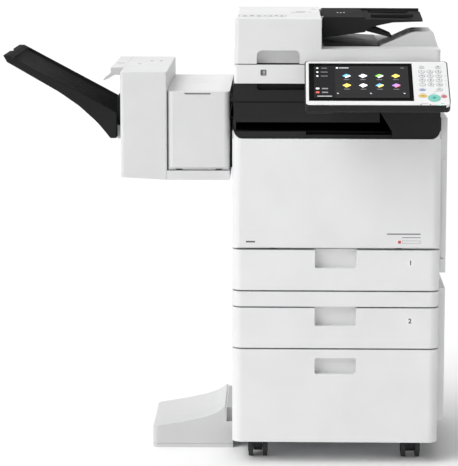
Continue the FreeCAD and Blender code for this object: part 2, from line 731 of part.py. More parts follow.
# ---- Document feeder ----
def adf_base():
    y_pivot, z_pivot = ADF_PIVOT
    half = ADF_HALF_WIDTH
    top = ADF_Z[1]
    plate = prism("XY", [
        (-half, ADF_Y[0], 12), (half, ADF_Y[0], 12), (half, ADF_Y[1], 6), (-half, ADF_Y[1], 6),
    ], ADF_Z[0], top)
    block_x = FEEDER_X
    tower = prism("XY", [
        (block_x[0], ADF_Y[0], 12), (block_x[1], ADF_Y[0], 2),
        (block_x[1], ADF_Y[1], 2), (block_x[0], ADF_Y[1], 6),
    ], top, ADF_TOP)
    heel = cut(
        block((-half - 1, half + 1), (y_pivot, ADF_Y[1] + 1), (ADF_Z[0] - 1, z_pivot)),
        rod_x((-half - 1, half + 1), y_pivot, z_pivot, ADF_Y[1] - y_pivot),
    )
    cavity = block((-half + 5, half - 5), (38, 484), (973, top - 4))
    tower_cavity = block((block_x[0] + 5, block_x[1] - 5), (44, 484), (990, ADF_TOP + 1))
    lid_space = block((-half - 1, block_x[1] + 1), FEED_COVER_SPACE_Y, (FEED_COVER_RIM_Z, ADF_TOP + 1))
    hand = rounded("XZ", (-190, -89), (940, 999), (-5, 30), 12)
    notches = []
    bores = []
    for side in (-1, 1):
        centre = side * ADF_LUG_X
        notches.append(block((centre - 10.5, centre + 10.5), (y_pivot - 8.5, 510), (960, z_pivot + 7)))
        bores.append(rod_x((centre - 20, centre + 20), y_pivot, z_pivot, 2.5 + RUNNING_CLEARANCE))
    body = cut(join(plate, tower), heel, cavity, tower_cavity, lid_space, hand, *notches, *bores)
    x, z = FEED_COVER_PIVOT
    pin_front = rod_y(x, (FEED_COVER_SPACE_Y[0] - 4, FEED_COVER_SPACE_Y[0] + 8), z, 2.0)
    pin_rear = rod_y(x, (FEED_COVER_SPACE_Y[1] - 8, FEED_COVER_SPACE_Y[1] + 4), z, 2.0)
    x, z = INPUT_TRAY_PIVOT
    tray_lugs = []
    for y in TRAY_LUG_Y:
        post = block((block_x[1] - 2, -33.7), y, (FEED_COVER_RIM_Z - 10, FEED_COVER_RIM_Z))
        riser = block((block_x[1], -33.7), y, (FEED_COVER_RIM_Z - 10, z + 4))
        tab = join(rod_y(x, y, z, 4.0), block((block_x[1], x), y, (z - 4, z + 4)), post, riser)
        tray_lugs.append(join(tab, rod_y(x, (y[0] - 6, y[1] + 6), z, 2.0)))
    body = join(body, pin_front, pin_rear, *tray_lugs)
    raised = prism("XZ", [
        (104, top), (176, 1034, 14), (190, 1037, 10), (231, 1037, 6), (half - 1, top),
    ], 100, 263)
    deck = prism("XZ", [(-30, top), (104, top), (103.9, 1004), (60, 1006), (-30, 1012)], 100, 470)
    roller = rod_y(-90, (120, 420), 1040, 12)
    pickup = rod_y(-60, (230, 330), 1042, 9)
    return group(body, raised, deck, roller, pickup)


def adf_feed_cover():
    x, z = FEED_COVER_PIVOT
    low = FEED_COVER_RIM_Z + 0.4
    right = FEEDER_X[1] - 0.4
    y = inset(FEED_COVER_SPACE_Y, 0.4)
    outer = prism("XZ", [
        (FEEDER_X[0], low, z - low), (right, low), (right, ADF_TOP, 2), (FEEDER_X[0], ADF_TOP, 5),
    ], y[0], y[1])
    hollow = block((x + 12, right - SKIN), inset(y, SKIN), (low - 1, ADF_TOP - SKIN))
    bore = rod_y(x, (0, 600), z, 2.0 + RUNNING_CLEARANCE)
    ribs = [block((x + 12, right - SKIN), (at, at + 2), (low + 4, ADF_TOP - SKIN)) for at in (150, 265, 380)]
    return join(cut(outer, hollow, bore), *ribs)


def adf_input_tray():
    y0, y1 = INPUT_TRAY_Y
    x, z = INPUT_TRAY_PIVOT
    left = prism("XZ", [(-33, 1022, 3), (68, 1036), (68, 1066), (68, 1072, 2), (-33, 1072, 4)], y0, y1)
    hollow = prism("XZ", [(-22, 1019), (66, 1031), (66, 1062), (60, 1069), (-22, 1069)], y0 + 3, y1 - 3)
    wing_corners = [
        (67, 1036), (78, 1046), (98, 1051.6, 40), (133, 1058.9, 60), (207.5, 1061.3, 1), (210, 1064.5, 1),
        (78, 1066.5), (67, 1066.5),
    ]
    wing = prism("XZ", wing_corners, y0, y1)
    corner = prism("XY", [
        (205, y0 - 1), (230, y0 - 1), (230, y1 + 1), (219, y1 + 1), (206.5, y0 + 20),
    ], ADF_Z[1], ADF_TOP + 1)
    fence = prism("XZ", [(67, 1064), (215, 1062), (217, 1071.5, 2), (67, 1072)], y1 - 8, y1)
    wing = join(wing, block((200, 217), (y0 + 40, y1), (1061.8, 1064.4)), fence)
    wing_hollow = prism("XZ", [
        (70, 1041), (79, 1050), (100, 1056), (100, 1062), (70, 1062),
    ], y0 + 3, y1 - 11)
    lug_gaps = [block((-45, x + 5), inset(y, -0.6), (z - 10, ADF_TOP + 1)) for y in TRAY_LUG_Y]
    end_relief = cut(
        block((-40, x), (y0 - 1, y1 + 1), (z, ADF_TOP + 1)), rod_y(x, (y0 - 1, y1 + 1), z, 5.0),
    )
    bore = rod_y(x, (y0 + 20, y1 - 20), z, 2.0 + RUNNING_CLEARANCE)
    body = cut(join(left, wing), hollow, wing_hollow, corner, end_relief, bore, *lug_gaps)
    flap = prism("XZ", [(71, 1037.5), (80, 1048.5), (133, 1026), (131, 1022.5)], y0 + 12, 250)
    return join(body, flap)


def adf_guide(outer, edge, inner):
    """A low document guide: a foot on the tray and a fence along the paper's edge."""
    foot = block(GUIDE_X, sorted((edge, inner)), GUIDE_FOOT_Z)
    fence = block(inset(GUIDE_X, -6), sorted((outer, edge)), (GUIDE_FOOT_Z[0], GUIDE_TOP))
    return join(foot, fence)


# ---- Control panel ----
def on_panel(shape):
    """Move a shape from panel coordinates (x, up the slope, out of the face) into place."""
    placed = shape.copy()
    placed.rotate(Vector(0, 0, 0), X_AXIS, PANEL_TILT)
    placed.translate(Vector(0, PANEL_FRONT_EDGE[0], PANEL_FRONT_EDGE[1]))
    return placed


def pivot_on_panel():
    """The tilt pivot in panel coordinates."""
    y = PANEL_PIVOT[0] - PANEL_FRONT_EDGE[0]
    z = PANEL_PIVOT[1] - PANEL_FRONT_EDGE[1]
    slope = radians(PANEL_TILT)
    return y * cos(slope) + z * sin(slope), z * cos(slope) - y * sin(slope)


def key_prism(name, grow, low, high):
    """A key's outline, grown all round, between two heights over the panel face."""
    style, x, v, width, height = KEYS[name]
    if style == "round":
        return rod_z(x, v, (low, high), width / 2 + grow)
    u = (x - width / 2 - grow, x + width / 2 + grow)
    w = (v - height / 2 - grow, v + height / 2 + grow)
    return rounded("XY", u, w, (low, high), (height / 2 + grow) * 0.9)


def make_key(name):
    cap = key_prism(name, 0, -KEY_DEPTH, KEY_LIFT - 0.3)
    crown = key_prism(name, -0.5, KEY_LIFT - 0.3, KEY_LIFT)
    return on_panel(join(cap, crown))


def panel_bezel():
    v = inset((0, PANEL_LENGTH), BEZEL_INSET)
    plate = rounded("XY", inset(PANEL_X, BEZEL_INSET), v, (-BEZEL_THICKNESS, 0), 9)
    window = block(inset(GLASS_X, -0.2), inset(GLASS_V, -0.2), (-BEZEL_THICKNESS - 1, 1))
    holes = [key_prism(name, KEY_CLEARANCE, -BEZEL_THICKNESS - 1, 1) for name in KEYS]
    return on_panel(cut(plate, window, *holes))


def touch_screen():
    return on_panel(block(GLASS_X, GLASS_V, (-4.0, -0.5)))


def panel_housing():
    pivot_v, pivot_w = pivot_on_panel()
    rim = HOUSING_RIM
    x = inset(PANEL_X, -rim)
    length = PANEL_LENGTH + rim
    side = prism("YZ", [
        (-rim, -0.8, 0.6), (-rim, -21, 7), (26, -26, 20), (length, -13, 3), (length, -0.8, 0.6),
    ], x[0], x[1])
    plan = prism("XY", [(x[0], -rim, 10), (x[1], -rim, 20), (x[1], length, 10), (x[0], length, 10)], -40, 5)
    nest_inset = BEZEL_INSET - 0.2
    nest_v = inset((0, PANEL_LENGTH), nest_inset)
    nest = rounded("XY", inset(PANEL_X, nest_inset), nest_v, (-BEZEL_THICKNESS - 0.2, 5), 9.2)
    hollow = prism("YZ", [
        (3, -7), (3, -15), (26, -21), (160, -13), (160, -7),
    ], PANEL_X[0] + 4, PANEL_X[1] - 4)
    body = cut(side.common(plan), nest, hollow)
    seat = block(inset(GLASS_X, 1), inset(GLASS_V, 1), (-7.2, -4.0))
    boss = prism("YZ", [(1, -17), (1, -26, 5), (30, -28, 5), (40, -22)], PANEL_X[0] + 2, -14)
    ears = []
    for lug_x in ARM_X:
        for ear_x in ((lug_x[0] - 12.5, lug_x[0] - 0.5), (lug_x[1] + 0.5, lug_x[1] + 12.5)):
            ears.append(join(
                rod_x(ear_x, pivot_v, pivot_w, 6.5),
                block(ear_x, (pivot_v - 6.5, length - 3), (pivot_w, -12)),
            ))
    relief = [rod_x(inset(lug_x, -0.5), pivot_v, pivot_w, 7.2) for lug_x in ARM_X]
    bores = [rod_x(inset(lug_x, -9.3), pivot_v, pivot_w, 3.0 + RUNNING_CLEARANCE) for lug_x in ARM_X]
    return group(on_panel(cut(join(body, boss, *ears), *relief, *bores)), on_panel(seat))


# ---- Right doors ----
def door_slab(z, lugs):
    """A hinged side door: hollow from inside, with a rounded heel on its hinge axis."""
    x, y = DOOR_PIVOT
    radius = DOOR_X[1] - x
    slab = join(block(DOOR_X, (DOOR_Y[0], y), z), rod_z(x, y, z, radius))
    pockets = [block((x - 10, x + 12), (y - 11, y + 12), inset(lug, -0.5)) for lug in lugs]
    bores = [rod_z(x, y, inset(lug, -8.4), 2.5 + RUNNING_CLEARANCE) for lug in lugs]
    return slab, pockets + bores


def bypass_lugs():
    """Lugs on the upper door that carry the bypass tray's hinge pins."""
    x, z = BYPASS_PIVOT
    lugs = []
    for y in BYPASS_LUG_Y:
        tab = join(rod_y(x, y, z, 4.5), block((251.0, x), y, (z - 4.5, z + 4.5)))
        lugs.append(join(tab, rod_y(x, inset(y, -8), z, 2.0)))
    return lugs


def right_door():
    slab, tools = door_slab(UPPER_DOOR_Z, UPPER_LUGS)
    hollows = [
        block((DOOR_X[0] - 1, 261), (46, 440), z)
        for z in ((UPPER_DOOR_Z[0] + 3, BYPASS_Z[0] - 3), (BYPASS_Z[1] + 3, UPPER_DOOR_Z[1] - 3))
    ]
    bay_y = (BYPASS_Y[0] - 1, BYPASS_Y[1] + 0.4)
    bypass_bay = block((252.0, DOOR_X[1] + 1), bay_y, (BYPASS_Z[0] - 0.3, BYPASS_Z[1] + 0.4))
    slab = cut(slab, bypass_bay, *hollows, *tools)
    guide = block((239, DOOR_X[0]), (90, 410), (560, 700))
    guide = cut(guide, block((238, 245), (94, 406), (566, 694)))
    ribs = [block((239, 245), (y, y + 2), (566, 694)) for y in range(120, 400, 40)]
    return join(slab, guide, *ribs, *bypass_lugs())


def bypass_tray():
    x, z = BYPASS_PIVOT
    x_in = 252.3
    radius = x - x_in
    slab = join(
        block((x_in, DOOR_X[1]), (BYPASS_Y[0], BYPASS_Y[1]), (z, BYPASS_Z[1])),
        rod_y(x, BYPASS_Y, z, radius),
    )
    hollow = block((x_in - 1, 260.5), (46, 444), (518, BYPASS_Z[1] - 4))
    gaps = [
        block((x_in - 1, DOOR_X[1] + 1), inset(y, -0.5), (BYPASS_Z[0] - 1, z + 9)) for y in BYPASS_LUG_Y
    ]
    bores = [rod_y(x, inset(y, -8.4), z, 2.0 + RUNNING_CLEARANCE) for y in BYPASS_LUG_Y]
    grip = rounded("YZ", (200, 290), (722, 745), (258.5, 270), 5)
    body = cut(slab, hollow, grip, *gaps, *bores)
    extension = block((254, 257), (80, 410), (530, 700))
    extension_feet = [block((257, 260.5), (y, y + 10), (530, 700)) for y in (120, 360)]
    return group(body, join(extension, *extension_feet))


def lower_right_door():
    slab, tools = door_slab(LOWER_DOOR_Z, LOWER_LUGS)
    hollow = block((DOOR_X[0] - 1, 261), (46, 440), (116, 421))
    toe = prism("XZ", [(256, 98), (266, 98), (266, 112)], 30, 480)
    grip = rounded("YZ", (44, 60), (300, 380), (258, 270), 5)
    return cut(slab, hollow, toe, grip, *tools)


# ---- Finisher ----
def finisher_housing():
    x0, x1 = FINISHER_X
    y0, y1 = FINISHER_Y
    slope_z = FINISHER_BOTTOM + 6
    top = FINISHER_TOP
    tower = prism("XZ", [
        (x0, slope_z, 3), (x1 + 1, FINISHER_BOTTOM), (x1 + 1, top, 3), (x0, top, 3),
    ], y0, y1)
    plan = prism("XY", [(x0, y0, 9), (x1 + 1, y0, 4), (x1 + 1, y1, 4), (x0, y1, 4)], 600, 1000)
    tower = tower.common(plan)
    tower_hollow = prism("XZ", [
        (x0 + 8, slope_z + 3), (x1 - 3, slope_z + 3), (x1 - 3, top - 3), (x0 + 8, top - 3),
    ], y0 + 4, y1 - 4)
    eave = prism("XZ", [
        (-546, 932, 2), (-546, top, 2), (x0 + 1, top), (x0 + 1, 928), (-540, 928, 2),
    ], 150, y1)
    eave_slot = block((-540, -520), (270, 290), (940, 950))
    cell_x = STAPLER_X
    cell = block((cell_x[0], cell_x[1]), (46, y1), (FINISHER_BOTTOM, STAPLER_TOP))
    sill = block((cell_x[0], cell_x[1]), (y0, 47), (FINISHER_BOTTOM, 711))
    sill_hollow = block((cell_x[0] - 1, cell_x[1] - 3), (y0 + 3, 50), (FINISHER_BOTTOM + 3, 708))
    cell_hollow = block((cell_x[0] - 8, cell_x[1] - 3), (49, y1 - 3), (FINISHER_BOTTOM + 3, STAPLER_TOP - 3))
    access = block((-385, -275), (40, 60), (735, 870))
    exit_slot = block((-260, -250), (62, 428), (836.2, 869.8))
    eject_slot = block((x0 - 1, x0 + 9), (90, 380), (868, 884))
    grooves = [block((x0 - 1, x0 + 5), y, (660, 900)) for y in GROOVE_Y]
    pass_through = block((x1 - 4, x1 + 3), (60, 430), (760, 890))
    body = cut(
        join(tower, eave, cell, sill),
        tower_hollow, eave_slot, sill_hollow, cell_hollow,
        access, exit_slot, eject_slot, pass_through, *grooves,
    )
    x, z = FLAG_PIVOT
    flag_lugs = [
        join(rod_y(x, y, z, 4.0), block((x - 4, x + 4), y, (z, 940))) for y in FLAG_LUG_Y
    ]
    flag_notch = block((-547, -518), (FLAG_LUG_Y[0][0] - 1, FLAG_LUG_Y[1][1] + 1), (927, 940))
    flag_pin = rod_y(x, (FLAG_LUG_Y[0][0] + 1, FLAG_LUG_Y[1][1] - 1), z, 2.0)
    body = join(cut(body, flag_notch), *flag_lugs, flag_pin)
    bracket = block((cell_x[1] + 0.2, -BODY_HALF_WIDTH), (60, 430), (715, 800))
    stapler = rounded("XZ", (-370, -300), (760, 820), (80, 200), 10)
    knob_shaft = rod_y(-300, (50, 90), 850, 5)
    knob = rod_y(-300, (47.5, 58), 850, 9)
    arms = cover_arms(FINISHER_ARM_X, FINISHER_COVER_PIVOT, 47)
    return group(join(body, *arms), bracket, stapler, join(knob_shaft, knob))


def finisher_cover():
    x0, x1 = FINISHER_COVER_X
    front = FINISHER_Y[0]
    low = FINISHER_COVER_LOW
    outer = prism("XY", [(x0, front, 14), (x1, front, 14), (x1, 43), (x0, 43)], low, STAPLER_TOP)
    hollow = prism("XY", [
        (x0 + SKIN, front + SKIN, 11), (x1 - SKIN, front + SKIN, 11), (x1 - SKIN, 46), (x0 + SKIN, 46),
    ], low + 18, STAPLER_TOP - SKIN)
    chamfer = prism("YZ", [
        (front - 5, low - 1), (27, low - 1), (27, low), (front, low + 8), (front - 5, low + 8),
    ], x0 - 1, x1 + 1)
    slot = rounded("XZ", COVER_SLOT_X, COVER_SLOT_Z, (front - 1, front + SKIN + 1), 1.4)
    arms = arm_clearances(FINISHER_ARM_X, FINISHER_COVER_PIVOT, 23.4, low)
    return cut(outer, hollow, chamfer, slot, *arms)


def finisher_tray():
    """The sloping output tray: a ribbed deck between two curved side walls, open underneath."""
    y0, y1 = TRAY_Y
    right = TRAY_ROOT_X
    deck_drop = TRAY_DECK_DROP
    wall = TRAY_WALL
    outline = [
        (-787, 966), (-662, 894, 250), (-615, 861, 120), (-571, 821, 200), (-541, 784, 4),
        (right, 784), (right, TRAY_RIM_Z[1]), (TRAY_RIM_X, TRAY_RIM_Z[0], 4), (TRAY_TIP_X, TRAY_RIM_Z[0]),
    ]
    whole = prism("XZ", outline, y0, y1)
    slope = (TRAY_RIM_Z[0] - TRAY_RIM_Z[1]) / (right - TRAY_RIM_X)

    def along(x, drop):
        """The height of a line parallel to the tray's rim, a distance below it."""
        return TRAY_RIM_Z[1] + (right - x) * slope - drop

    above = prism("XZ", [
        (-772, along(-772, deck_drop - 4), 4), (right + 1, along(right + 1, deck_drop)),
        (right + 1, along(right + 1, -30)), (-772, along(-772, -30)),
    ], y0 + wall, y1 - wall)
    below = prism("XZ", [
        (-758, along(-758, 20)), (-655, 889), (-609, 855), (-566, 815), (-540, 780), (right - 3, 780),
        (right - 3, along(right - 3, deck_drop + 3.5)), (-745, along(-745, deck_drop + 3.5)),
    ], y0 + wall, y1 - wall)
    notch = rod_z(TRAY_TIP_X - 50, 230, (950, 1010), 60)
    tray = cut(whole, above, below, notch)
    ribs = []
    for index in range(TRAY_RIBS):
        at = y0 + TRAY_RIB_PITCH * (index + 1)
        ribs.append(prism("XZ", [
            (-762, along(-762, deck_drop - 2)), (right, along(right, deck_drop + 1)),
            (right, along(right, deck_drop - 4)), (-762, along(-762, deck_drop - 3)),
        ], at - 2, at + 2))
    bracket = block((right, -515.2), (100, 360), (779, 880))
    tongues = [block((-516, -510.5), inset(y, 0.5), (779, 860)) for y in GROOVE_Y]
    return group(join(tray, *ribs), join(bracket, *tongues))


def finisher_stack_flag():
    x, z = FLAG_PIVOT
    y = (FLAG_LUG_Y[0][1] + 0.5, FLAG_LUG_Y[1][0] - 0.5)
    hub = rod_y(x, y, z, 4.0)
    arm = prism("XZ", [
        (x - 3, z + 3), (x + 2, z - 3), (x - 18, z - 16), (x - 33, z - 22, 1), (x - 26, z - 12),
    ], y[0], y[1])
    bore = rod_y(x, (y[0] - 1, y[1] + 1), z, 2.0 + RUNNING_CLEARANCE)
    return cut(join(hub, arm), bore)


# ---- Stabiliser, casters and inlet ----
def stabiliser_foot():
    x0, x1 = FOOT_X
    profile = [
        (x0, 9.5), (x1, 9.5), (x1, 66), (-266, 66), (-267, 104.6, 3), (-276, 98, 20), (-293, 86, 40),
        (-326, 75.3, 100), (-378, 64.4), (-432.5, 55.6, 8), (x0, 53, 4),
    ]
    body = prism("XZ", profile, FOOT_Y[0], FOOT_Y[1])
    plan = prism("XY", [
        (x0, FOOT_Y[0], 14), (x1, FOOT_Y[0]), (x1, FOOT_Y[1]), (x0, FOOT_Y[1], 14),
    ], -1, 120)
    low, high = inset(FOOT_Y, -0.5)
    base = prism("XY", [
        (x0 - 0.5, low, 14), (x1, low), (x1, high), (x0 - 0.5, high, 14),
    ], 0, FOOT_BASE)
    body = body.common(plan)
    hollow = block((x0 + 6, x1 - 6), (FOOT_Y[0] + 4, FOOT_Y[1] - 4), (12, 48))
    core = block((x0 + 10, x1 - 10), (FOOT_Y[0] + 10, FOOT_Y[1] - 10), (8, 13))
    bracket = block((-264, -BODY_HALF_WIDTH), (FOOT_Y[0] + 12, FOOT_Y[1] - 12), (66.2, 100))
    fin = block((-266.5, -264), (FOOT_Y[0] + 1, FOOT_Y[1] - 1), (66, 100))
    return group(join(cut(body, hollow), core, base, fin), bracket)


def caster_place(index):
    side = -1 if index % 2 == 0 else 1
    return side * CASTER_X, CASTER_Y[index // 2]


def caster_fork(index):
    x, y = caster_place(index)
    half = CASTER_HALF_WIDTH - WHEEL_WIDTH - 0.8
    column = rod_z(x, y, (27, 49.8), 9.5)
    crown = rod_z(x, y, (46.5, 50.3), 15)
    wheel_y = y + CASTER_TRAIL
    cheek = prism("YZ", [
        (y - 8, 27), (wheel_y - 4, 14, 6), (wheel_y + 8, 14, 6), (wheel_y + 8, 46), (y - 8, 46),
    ], x - half, x + half)
    bore = rod_x((x - 30, x + 30), wheel_y, WHEEL_RADIUS, AXLE_RADIUS + RUNNING_CLEARANCE)
    stem_bore = rod_z(x, y, (STEM_LOW - 2, 60), STEM_RADIUS + RUNNING_CLEARANCE)
    hood_clear = rod_x((x - 40, x - half), wheel_y, WHEEL_RADIUS, WHEEL_RADIUS + 0.6)
    hood_clear_right = rod_x((x + half, x + 40), wheel_y, WHEEL_RADIUS, WHEEL_RADIUS + 0.6)
    return cut(join(column, crown, cheek), bore, stem_bore, hood_clear, hood_clear_right)


def caster_wheels(index):
    """Twin wheels with hub caps on a short axle."""
    x, y = caster_place(index)
    wheel_y = y + CASTER_TRAIL
    near = CASTER_HALF_WIDTH - WHEEL_WIDTH
    far = CASTER_HALF_WIDTH - HUB_CAP
    parts = [rod_x((x - near, x + near), wheel_y, WHEEL_RADIUS, AXLE_RADIUS)]
    for side in (-1, 1):
        tread = sorted((x + side * near, x + side * far))
        cap = sorted((x + side * far, x + side * CASTER_HALF_WIDTH))
        wheel = rod_x(tread, wheel_y, WHEEL_RADIUS, WHEEL_RADIUS)
        rims = [edge for edge in wheel.Edges if edge.Curve.TypeId == "Part::GeomCircle"]
        parts.append(wheel.makeFillet(2.5, rims))
        parts.append(rod_x(cap, wheel_y, WHEEL_RADIUS, HUB_CAP_RADIUS))
    return group(*parts)


def power_inlet():
    y0, y1 = INLET_Y
    body = block((INLET_X - 15.5, INLET_X + 15.5), (y0, y1), (INLET_Z - 11.5, INLET_Z + 11.5))
    socket_x = (INLET_X - 12, INLET_X + 12)
    socket = rounded("XZ", socket_x, (INLET_Z - 8.2, INLET_Z + 8.2), (y0 + 3, y1 + 1), 3)
    blades = [
        block((INLET_X + x - 1, INLET_X + x + 1), (y0 + 3, y1 - 3), (INLET_Z + z - 2, INLET_Z + z + 2))
        for x, z in ((-7, -1), (7, -1), (0, 4))
    ]
    return group(cut(body, socket), *blades)


# ---- All nodes ----
def all_nodes():
    """Every node's shape in machine coordinates, by name."""
    nodes = {
        "chassis": chassis(),
        "engine_covers": engine_covers(),
        "pedestal_covers": pedestal_covers(),
        "front_cover": front_cover(),
        "right_door": right_door(),
        "lower_right_door": lower_right_door(),
        "bypass_tray": bypass_tray(),
        "delivery_bay": delivery_bay(),
        "toner_cartridges": toner_cartridges(),
        "print_engine_modules": print_engine_modules(),
        "reader_housing": reader_housing(),
        "platen_glass": platen_glass(),
        "scan_carriage": scan_carriage(),
        "adf_base": adf_base(),
        "adf_feed_cover": adf_feed_cover(),
        "adf_input_tray": adf_input_tray(),
        "adf_guide_front": adf_guide(*FRONT_GUIDE_Y),
        "adf_guide_rear": adf_guide(*REAR_GUIDE_Y),
        "panel_housing": panel_housing(),
        "panel_bezel": panel_bezel(),
        "touch_screen": touch_screen(),
        "cassette_1_front": cassette_front(CASSETTE_1_Z),
        "cassette_1_tray": cassette_tray((433, 516), RUNNER_Z["cassette_1"]),
        "cassette_2_front": cassette_front(CASSETTE_2_Z),
        "cassette_2_tray": cassette_tray((291, 374), RUNNER_Z["cassette_2"]),
        "storage_drawer_front": recessed_front(STORAGE_Z, STORAGE_RECESS_Z, 6.0),
        "storage_drawer_box": storage_box(),
        "finisher_housing": finisher_housing(),
        "finisher_cover": finisher_cover(),
        "finisher_tray": finisher_tray(),
        "finisher_stack_flag": finisher_stack_flag(),
        "stabiliser_foot": stabiliser_foot(),
        "power_inlet": power_inlet(),
    }
    for index, name in enumerate(CASTER_NAMES):
        nodes["caster_fork_" + name] = caster_fork(index)
        nodes["caster_wheels_" + name] = caster_wheels(index)
    for name in KEYS:
        nodes[name] = make_key(name)
    return nodes


def footprint_middle(nodes):
    """The middle of the machine's overall box, on the floor."""
    overall = FreeCAD.BoundBox()
    for shape in nodes.values():
        overall.add(shape.optimalBoundingBox(False))
    return Vector(overall.Center.x, overall.Center.y, 0)


def main():
    os.makedirs("parts", exist_ok=True)
    nodes = all_nodes()
    middle = footprint_middle(nodes)
    for name, shape in nodes.items():
        shape.translate(-middle)
        shape.exportStep("parts/" + name + ".step")


if __name__ == "__main__":
    main()
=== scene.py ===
import json
import math

import bmesh
import bpy
from mathutils import Matrix, Vector

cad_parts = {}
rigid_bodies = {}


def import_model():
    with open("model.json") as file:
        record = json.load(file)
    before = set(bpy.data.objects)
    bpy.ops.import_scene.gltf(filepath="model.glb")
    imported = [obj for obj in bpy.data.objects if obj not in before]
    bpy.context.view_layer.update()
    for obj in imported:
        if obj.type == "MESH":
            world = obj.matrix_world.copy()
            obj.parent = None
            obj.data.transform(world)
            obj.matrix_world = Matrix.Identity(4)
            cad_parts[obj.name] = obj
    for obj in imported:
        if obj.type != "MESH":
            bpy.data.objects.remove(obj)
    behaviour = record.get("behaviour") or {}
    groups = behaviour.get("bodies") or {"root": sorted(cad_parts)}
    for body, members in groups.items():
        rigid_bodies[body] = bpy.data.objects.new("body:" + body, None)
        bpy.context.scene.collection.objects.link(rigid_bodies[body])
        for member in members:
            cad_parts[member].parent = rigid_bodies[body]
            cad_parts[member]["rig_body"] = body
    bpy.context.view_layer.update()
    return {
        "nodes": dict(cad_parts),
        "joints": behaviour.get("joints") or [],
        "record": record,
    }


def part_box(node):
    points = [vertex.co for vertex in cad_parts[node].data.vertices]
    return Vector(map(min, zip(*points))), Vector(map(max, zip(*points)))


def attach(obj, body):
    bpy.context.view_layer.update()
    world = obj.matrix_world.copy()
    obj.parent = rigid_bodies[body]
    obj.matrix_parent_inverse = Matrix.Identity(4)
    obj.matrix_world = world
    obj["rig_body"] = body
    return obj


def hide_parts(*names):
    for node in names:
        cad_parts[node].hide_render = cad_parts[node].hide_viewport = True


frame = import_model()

MM = 0.001

# ---- Places that come from the frame ----
front_low, front_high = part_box("cassette_1_front")
MACHINE = Vector(((front_low.x + front_high.x) / 2, front_low.y, 0.0))
screen_low, screen_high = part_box("touch_screen")
PRESS = next(Vector(joint["axis"]) for joint in frame["joints"] if joint["name"] == "start_key")
PANEL_NORMAL = -PRESS.normalized()
PANEL_RIGHT = Vector((1, 0, 0))
PANEL_UP = PANEL_NORMAL.cross(PANEL_RIGHT)
SCREEN_THICKNESS = 3.5 * MM
SCREEN_CORNER = Vector((screen_low.x, screen_low.y, screen_low.z + SCREEN_THICKNESS * PANEL_NORMAL.z))
BEZEL_RISE = 0.5


def at(x, y, z):
    """A point from millimetres right of the body's middle, behind its front and above the floor."""
    return MACHINE + Vector((x, y, z)) * MM


# ---- Materials ----
def new_material(name):
    material = bpy.data.materials.new(name)
    material.use_nodes = True
    nodes = material.node_tree.nodes
    return material, nodes, material.node_tree.links, nodes["Principled BSDF"]


def noise(nodes, links, scale, detail=3.0, roughness=0.55):
    """A noise texture in object space, scale given in features per metre."""
    place = nodes.new("ShaderNodeTexCoord")
    texture = nodes.new("ShaderNodeTexNoise")
    texture.inputs["Scale"].default_value = scale
    texture.inputs["Detail"].default_value = detail
    texture.inputs["Roughness"].default_value = roughness
    links.new(place.outputs["Object"], texture.inputs["Vector"])
    return texture.outputs["Fac"]


def spread(nodes, links, value, low, high):
    """Maps a noise value's middle range onto low..high."""
    mapped = nodes.new("ShaderNodeMapRange")
    mapped.inputs["From Min"].default_value = 0.3
    mapped.inputs["From Max"].default_value = 0.7
    mapped.inputs["To Min"].default_value = low
    mapped.inputs["To Max"].default_value = high
    links.new(value, mapped.inputs["Value"])
    return mapped.outputs["Result"]


def tinted(nodes, links, value, dark, light):
    """Two close colours mixed by a noise value."""
    ramp = nodes.new("ShaderNodeValToRGB")
    ramp.color_ramp.elements[0].position = 0.3
    ramp.color_ramp.elements[1].position = 0.7
    ramp.color_ramp.elements[0].color = (*dark, 1)
    ramp.color_ramp.elements[1].color = (*light, 1)
    links.new(value, ramp.inputs["Fac"])
    return ramp.outputs["Color"]


def grain(nodes, links, shader, value, strength, distance):
    bump = nodes.new("ShaderNodeBump")
    bump.inputs["Strength"].default_value = strength
    bump.inputs["Distance"].default_value = distance
    links.new(value, bump.inputs["Height"])
    links.new(bump.outputs["Normal"], shader.inputs["Normal"])


def plastic(name, colour, roughness, texture=900.0, depth=0.25, vary=0.03, coat=0.0, ior=1.46, shine=0.5):
    """Moulded plastic: a spark-eroded grain, faint cloudy colour change and handled patches in the gloss."""
    material, nodes, links, shader = new_material(name)
    dark = [channel * (1 - vary) for channel in colour]
    light = [min(1.0, channel * (1 + vary)) for channel in colour]
    links.new(tinted(nodes, links, noise(nodes, links, 7.0), dark, light), shader.inputs["Base Color"])
    sheen_map = spread(nodes, links, noise(nodes, links, 22.0), roughness - 0.05, roughness + 0.06)
    links.new(sheen_map, shader.inputs["Roughness"])
    grain(nodes, links, shader, noise(nodes, links, texture, 2.0), depth, 0.00012)
    shader.inputs["IOR"].default_value = ior
    shader.inputs["Specular IOR Level"].default_value = shine
    shader.inputs["Coat Weight"].default_value = coat
    return material


def metal(name, colour, roughness):
    """Zinc-coated sheet: cloudy spangle in colour and gloss."""
    material, nodes, links, shader = new_material(name)
    spangle = noise(nodes, links, 160.0, 4.0, 0.7)
    dark = [channel * 0.85 for channel in colour]
    links.new(tinted(nodes, links, spangle, dark, colour), shader.inputs["Base Color"])
    links.new(spread(nodes, links, spangle, roughness - 0.08, roughness + 0.1), shader.inputs["Roughness"])
    grain(nodes, links, shader, noise(nodes, links, 500.0), 0.1, 0.0001)
    shader.inputs["Metallic"].default_value = 1.0
    return material


def rubber(name, colour):
    material, nodes, links, shader = new_material(name)
    dust = noise(nodes, links, 45.0, 5.0, 0.65)
    light = [channel * 1.8 + 0.008 for channel in colour]
    links.new(tinted(nodes, links, dust, colour, light), shader.inputs["Base Color"])
    links.new(spread(nodes, links, dust, 0.62, 0.8), shader.inputs["Roughness"])
    grain(nodes, links, shader, noise(nodes, links, 700.0), 0.3, 0.0001)
    return material


